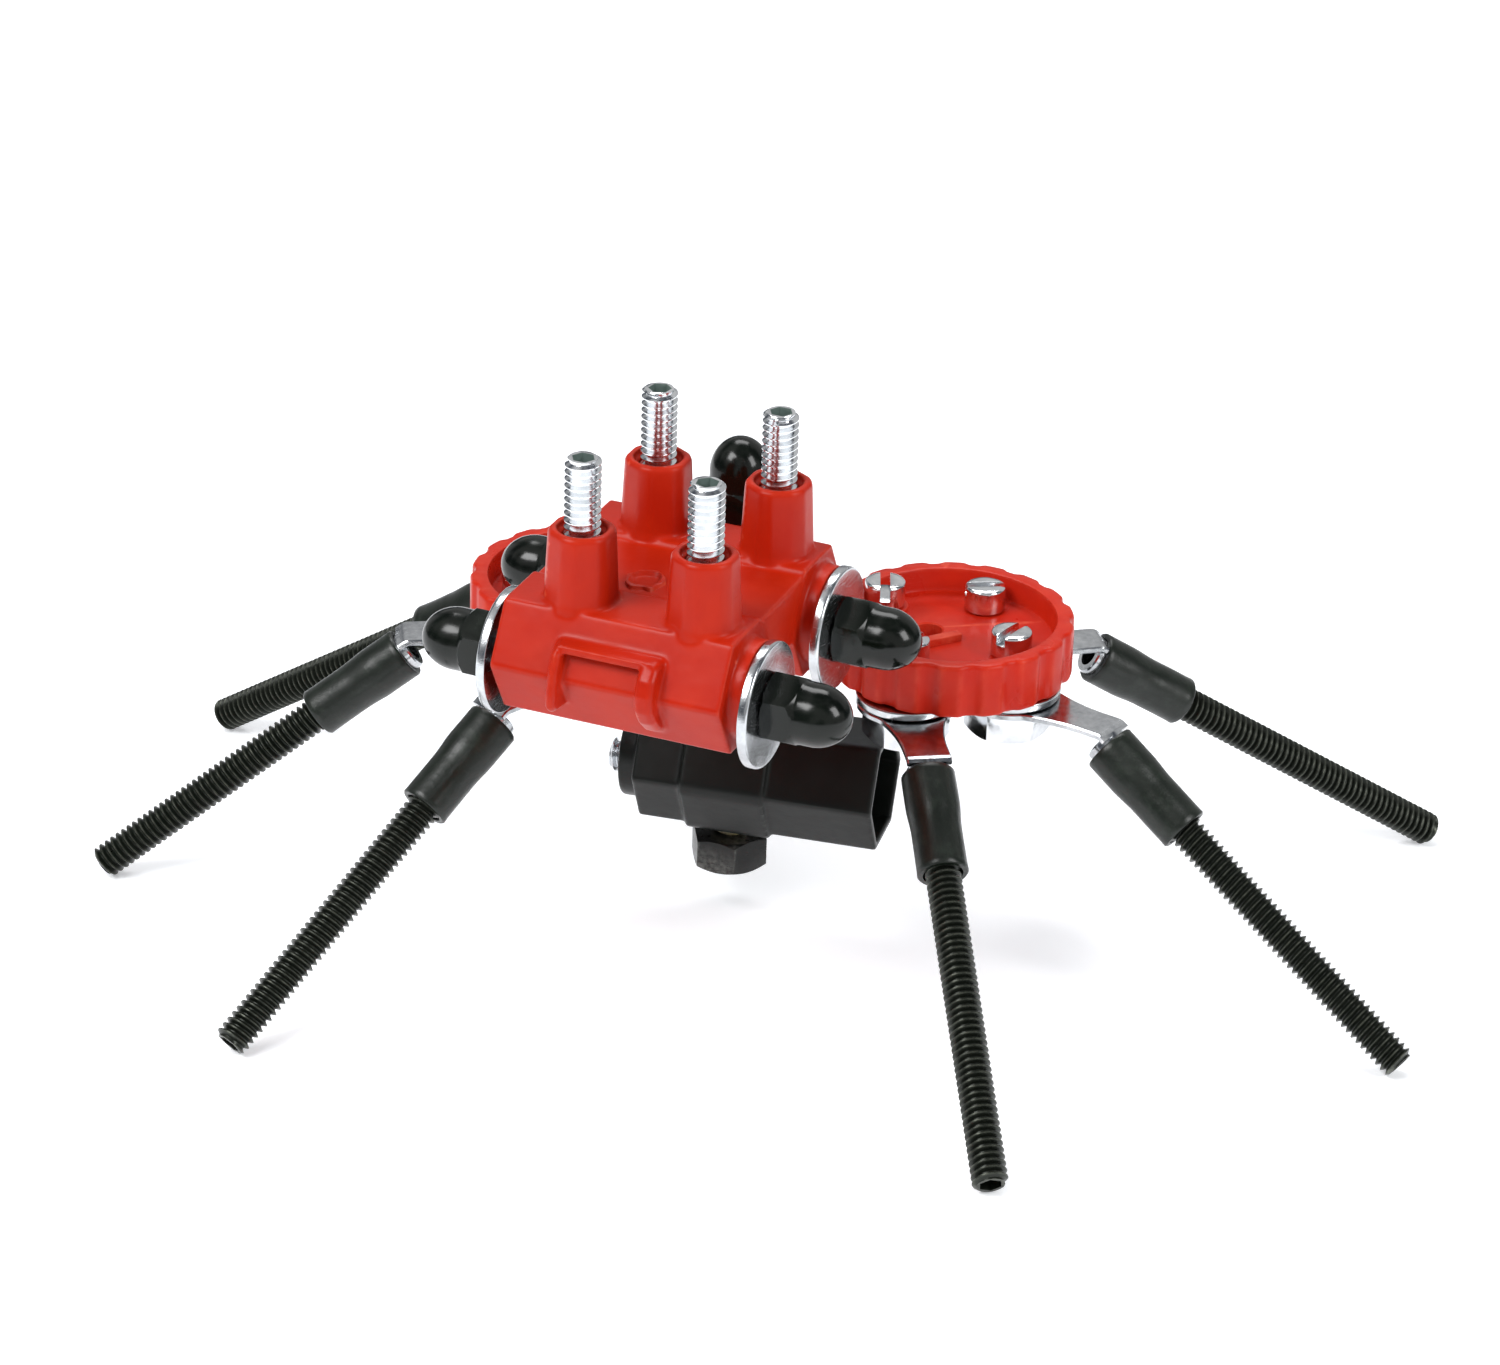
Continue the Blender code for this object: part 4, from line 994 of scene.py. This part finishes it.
def build_legs():
    floor_z = DISC_TOP_Z - DISC_RECESS
    nut_top = LUG_Z - LUG_T / 2 - GAP
    centers = {"left": LEFT_DISC, "right": RIGHT_DISC}
    for index, (name, (side, angle, heading, free_length)) in enumerate(LEGS.items()):
        wheel = f"{side}_wheel"
        at_hip = Matrix.Translation((*on_circle(centers[side], SCREW_CIRCLE_R, angle), 0))
        matrix = at_hip @ about_z(math.radians(heading))
        pitch = leg_pitch(free_length)
        build_lug(name, pitch, matrix)
        build_sleeve(name, index, pitch, matrix)
        start = ELBOW_TO_SLEEVE + SLEEVE_LENGTH - STUD_HIDDEN
        stud = new_object(f"{name}_threaded_stud", thread(STUD_HIDDEN + free_length, sockets=(1,)))
        place(stud, OXIDE, f"{name}_leg", [f"{name}_stud"],
              matrix @ leg_matrix(pitch, start) @ about_z(index * STUD_TURN), 50, OXIDE)
        corners = [(HIP_WASHER_R, WASHER_TOP_Z - HIP_WASHER_T), (HIP_WASHER_R, WASHER_TOP_Z),
                   (HOLE_R, WASHER_TOP_Z), (HOLE_R, WASHER_TOP_Z - HIP_WASHER_T)]
        ring = lathe(rounded(corners, [0.0003, 0.0003, 0.0001, 0.0001], 3), 80, True)
        washer = new_object(f"{name}_hip_washer", ring)
        place(washer, ZINC, wheel, [f"{name}_washer"], at_hip, 50)
        corner = HIP_NUT_FLATS / math.sqrt(3)
        low = nut_top - HIP_NUT_HEIGHT
        profile = [(corner - 0.0011, low), (corner, low + 0.0006), (corner, nut_top - 0.0003),
                   (corner - 0.0004, nut_top)]
        nut = hex_solid(HIP_NUT_FLATS, profile, HOLE_R)
        bevel(nut, 0.00015, 2, 30)
        nut.name = f"{name}_hip_nut"
        place(nut, SCREW_ZINC, wheel, [f"{name}_nut"], at_hip @ about_z(HIP_NUT_TURN), 35)
        spin = at_hip @ about_z(SLOT_TURNS[index])
        slotted_screw(f"{name}_hip_screw", wheel, f"{name}_screw", floor_z, low - 0.001, spin)


# ---------- plate, bolt and connector ----------

def build_plate():
    low, high = WASHER_TOP_Z - HIP_WASHER_T, WASHER_TOP_Z
    anchors = []
    for center, pattern in ((LEFT_DISC, LEFT_PATTERN), (RIGHT_DISC, RIGHT_PATTERN)):
        anchors.append(anchor_spot(center, pattern))
    plate = new_object("steel_bridge", post(PLATE_EYE_R, low, high, BOLT_XY))
    for anchor in anchors:
        boolean(plate, "UNION", post(PLATE_EYE_R, low, high, anchor))
        run = Vector(anchor) - Vector(BOLT_XY)
        across = Vector((-run.y, run.x)).normalized() * PLATE_ARM / 2
        base, tip = Vector(BOLT_XY), Vector(anchor)
        arm = [(c.x, c.y) for c in (base - across, tip - across, tip + across, base + across)]
        boolean(plate, "UNION", loft([(arm, low), (arm, high)]))
    for spot in [BOLT_XY] + anchors:
        boolean(plate, "DIFFERENCE", post(HOLE_R, low - 0.01, high + 0.01, spot, 40))
    bevel(plate, 0.0002, 2, 40)
    place(plate, ZINC, "frame", ["bridge_plate"], angle=40)


def build_bolt():
    cap_z = PILLAR_TOP_Z + GAP
    head_top = BOLT_HEAD_Z + BOLT_HEAD_HEIGHT
    corner = BOLT_HEAD_FLATS / math.sqrt(3)
    profile = [(corner - 0.0010, BOLT_HEAD_Z), (corner, BOLT_HEAD_Z + 0.0006), (corner, head_top - 0.0006),
               (corner - 0.0010, head_top)]
    head = hex_solid(BOLT_HEAD_FLATS, profile)
    bevel(head, 0.00018, 2, 30)
    head.name = "bolt_head"
    place(head, BOLT_BLACK, "frame", ["centre_bolt"],
          Matrix.Translation((*BOLT_XY, 0)), 35)
    length = cap_z + AXLE_ENGAGEMENT - head_top + 0.0003
    shank = new_object("bolt_thread", thread(length, start_taper=False))
    place(shank, YELLOW, "frame", [],
          Matrix.Translation((*BOLT_XY, head_top - 0.0003)), 50)
    cap = cap_nut("centre_dome_nut")
    place(cap, BLACK, "frame", ["centre_cap_nut"],
          Matrix.Translation((*BOLT_XY, cap_z)), 32)


def build_connector():
    tube = new_object("black_clamp_tube", merge(
        hex_bar(HEX_FLATS, CONNECTOR_LEFT, CONNECTOR_RIGHT, 0, CONNECTOR_Z, CONNECTOR_CORNER_R),
        hex_bar(HEX_FLATS + 2 * COLLAR_EXTRA, COLLAR_X - COLLAR_HALF, COLLAR_X + COLLAR_HALF, 0,
                CONNECTOR_Z, COLLAR_CORNER_R),
        rod_bar(NECK_R, CONNECTOR_LEFT - CONNECTOR_NECK, CONNECTOR_LEFT + 0.001, 0, CONNECTOR_Z),
        lathe([(TOWER_FOOT_R, CONNECTOR_Z + 0.009), (TOWER_TOP_R, WASHER_TOP_Z - HIP_WASHER_T - GAP)])))
    remesh = tube.modifiers.new("union", "REMESH")
    remesh.mode = "VOXEL"
    remesh.voxel_size = CONNECTOR_VOXEL
    bake(tube)
    neck_end = CONNECTOR_LEFT - CONNECTOR_NECK
    stub_z = CONNECTOR_Z - STUB_DROP
    boolean(tube, "DIFFERENCE", hex_bar(HEX_FLATS - 2 * HEX_WALL, CONNECTOR_LEFT + 0.002,
                                        CONNECTOR_RIGHT + 0.001, 0, CONNECTOR_Z))
    boolean(tube, "DIFFERENCE", rod_bar(HOLE_R, neck_end - 0.001, CONNECTOR_LEFT + 0.003, 0, stub_z, 40))
    boolean(tube, "DIFFERENCE", lathe([(HOLE_R, 0.01), (HOLE_R, 0.06)], 40))
    soften(tube, SOFT_VOXEL, 4)
    matrix = Matrix.Translation((*BOLT_XY, 0)) @ about_z(CONNECTOR_YAW)
    place(tube, BLACK_TUBE, "connector", ["connector_tube"], matrix, 0)
    stub = new_object("stub_set_screw", thread(STUB_LENGTH, sockets=(1,)))
    # The stub screw's socket faces get the painted socket shade.
    place(stub, ZINC, "stub", ["stub_screw"],
          matrix @ along((-1, 0, 0), (neck_end - STUB_REACH + STUB_LENGTH, 0, stub_z)), 50, SOCKET_PAINTED_SHADE)


# ---------- studio ----------

def area_light(name, location, size, power):
    data = bpy.data.lights.new(name, "AREA")
    data.shape = "RECTANGLE"
    data.size, data.size_y = size
    data.energy = power
    light = bpy.data.objects.new(name, data)
    light.location = location
    light.rotation_euler = (Vector(LIGHT_TARGET) - Vector(location)).to_track_quat("-Z", "Y").to_euler()
    bpy.context.scene.collection.objects.link(light)


def build_studio():
    bpy.ops.mesh.primitive_plane_add(size=FLOOR_SIZE, location=(0, 0, -0.0001))
    floor = bpy.context.object
    floor.name = "studio_floor"
    n = Nodes("studio_floor")
    tone = n.mix(n.noise(3.0), (0.92, 0.93, 0.95), (0.94, 0.95, 0.96))
    rough = n.remap(n.noise(20.0), 0.0, 1.0, 0.5, 0.6)
    n.shader.inputs["Emission Color"].default_value = (0.95, 0.97, 1.0, 1.0)
    n.shader.inputs["Emission Strength"].default_value = FLOOR_GLOW
    normal = n.bump(n.noise(400.0), 0.02, 0.0001)
    floor.data.materials.append(n.finish(tone, rough, normal, specular=0.2))
    world = bpy.data.worlds.new("studio")
    bpy.context.scene.world = world
    world.use_nodes = True
    tree = world.node_tree
    background = tree.nodes["Background"]
    background.inputs["Strength"].default_value = WORLD_STRENGTH
    coords = tree.nodes.new("ShaderNodeTexCoord")
    blobs = tree.nodes.new("ShaderNodeTexNoise")
    blobs.inputs["Scale"].default_value = 1.7
    blobs.inputs["Detail"].default_value = 1.5
    ramp = tree.nodes.new("ShaderNodeValToRGB")
    ramp.color_ramp.elements[0].position = 0.40
    ramp.color_ramp.elements[0].color = (0.16, 0.18, 0.22, 1)
    ramp.color_ramp.elements[1].position = 0.56
    ramp.color_ramp.elements[1].color = (1.25, 1.25, 1.25, 1)
    paths = tree.nodes.new("ShaderNodeLightPath")
    pick = tree.nodes.new("ShaderNodeMix")
    pick.data_type = "RGBA"
    pick.inputs[7].default_value = BACKDROP
    tree.links.new(coords.outputs["Generated"], blobs.inputs["Vector"])
    tree.links.new(blobs.outputs["Fac"], ramp.inputs["Fac"])
    tree.links.new(paths.outputs["Is Camera Ray"], pick.inputs["Factor"])
    tree.links.new(ramp.outputs["Color"], pick.inputs[6])
    tree.links.new(pick.outputs[2], background.inputs["Color"])
    area_light("key", (-0.35, -0.55, 0.75), (0.5, 0.35), 7.5)
    area_light("side", (0.75, -0.15, 0.55), (0.3, 0.45), 4.0)
    area_light("back", (-0.15, 0.45, 0.85), (0.6, 0.3), 3.6)


def build_camera():
    """Camera in the design frame: where it stands, where it looks and how far it is tilted."""
    data = bpy.data.cameras.new("camera")
    camera = bpy.data.objects.new("camera", data)
    bpy.context.scene.collection.objects.link(camera)
    location = SHIFT + Vector(CAMERA_FROM)
    forward = Vector(CAMERA_FORWARD).normalized()
    right = forward.cross(Vector((0, 0, 1))).normalized()
    up = right.cross(forward)
    right_rolled = right * math.cos(CAMERA_ROLL) + up * math.sin(CAMERA_ROLL)
    up_rolled = right_rolled.cross(forward)
    rotation = Matrix((right_rolled, up_rolled, -forward)).transposed()
    camera.matrix_world = Matrix.Translation(location) @ rotation.to_4x4()
    data.sensor_width = 36.0
    data.lens = CAMERA_LENS
    data.clip_start = 0.05
    data.clip_end = 20.0
    bpy.context.scene.camera = camera


build_block()
build_grubs()
build_axles()
build_disc("left", LEFT_DISC, LEFT_PATTERN)
build_disc("right", RIGHT_DISC, RIGHT_PATTERN)
build_legs()
build_plate()
build_bolt()
build_connector()
build_studio()
build_camera()
bpy.context.scene.view_settings.view_transform = "Standard"
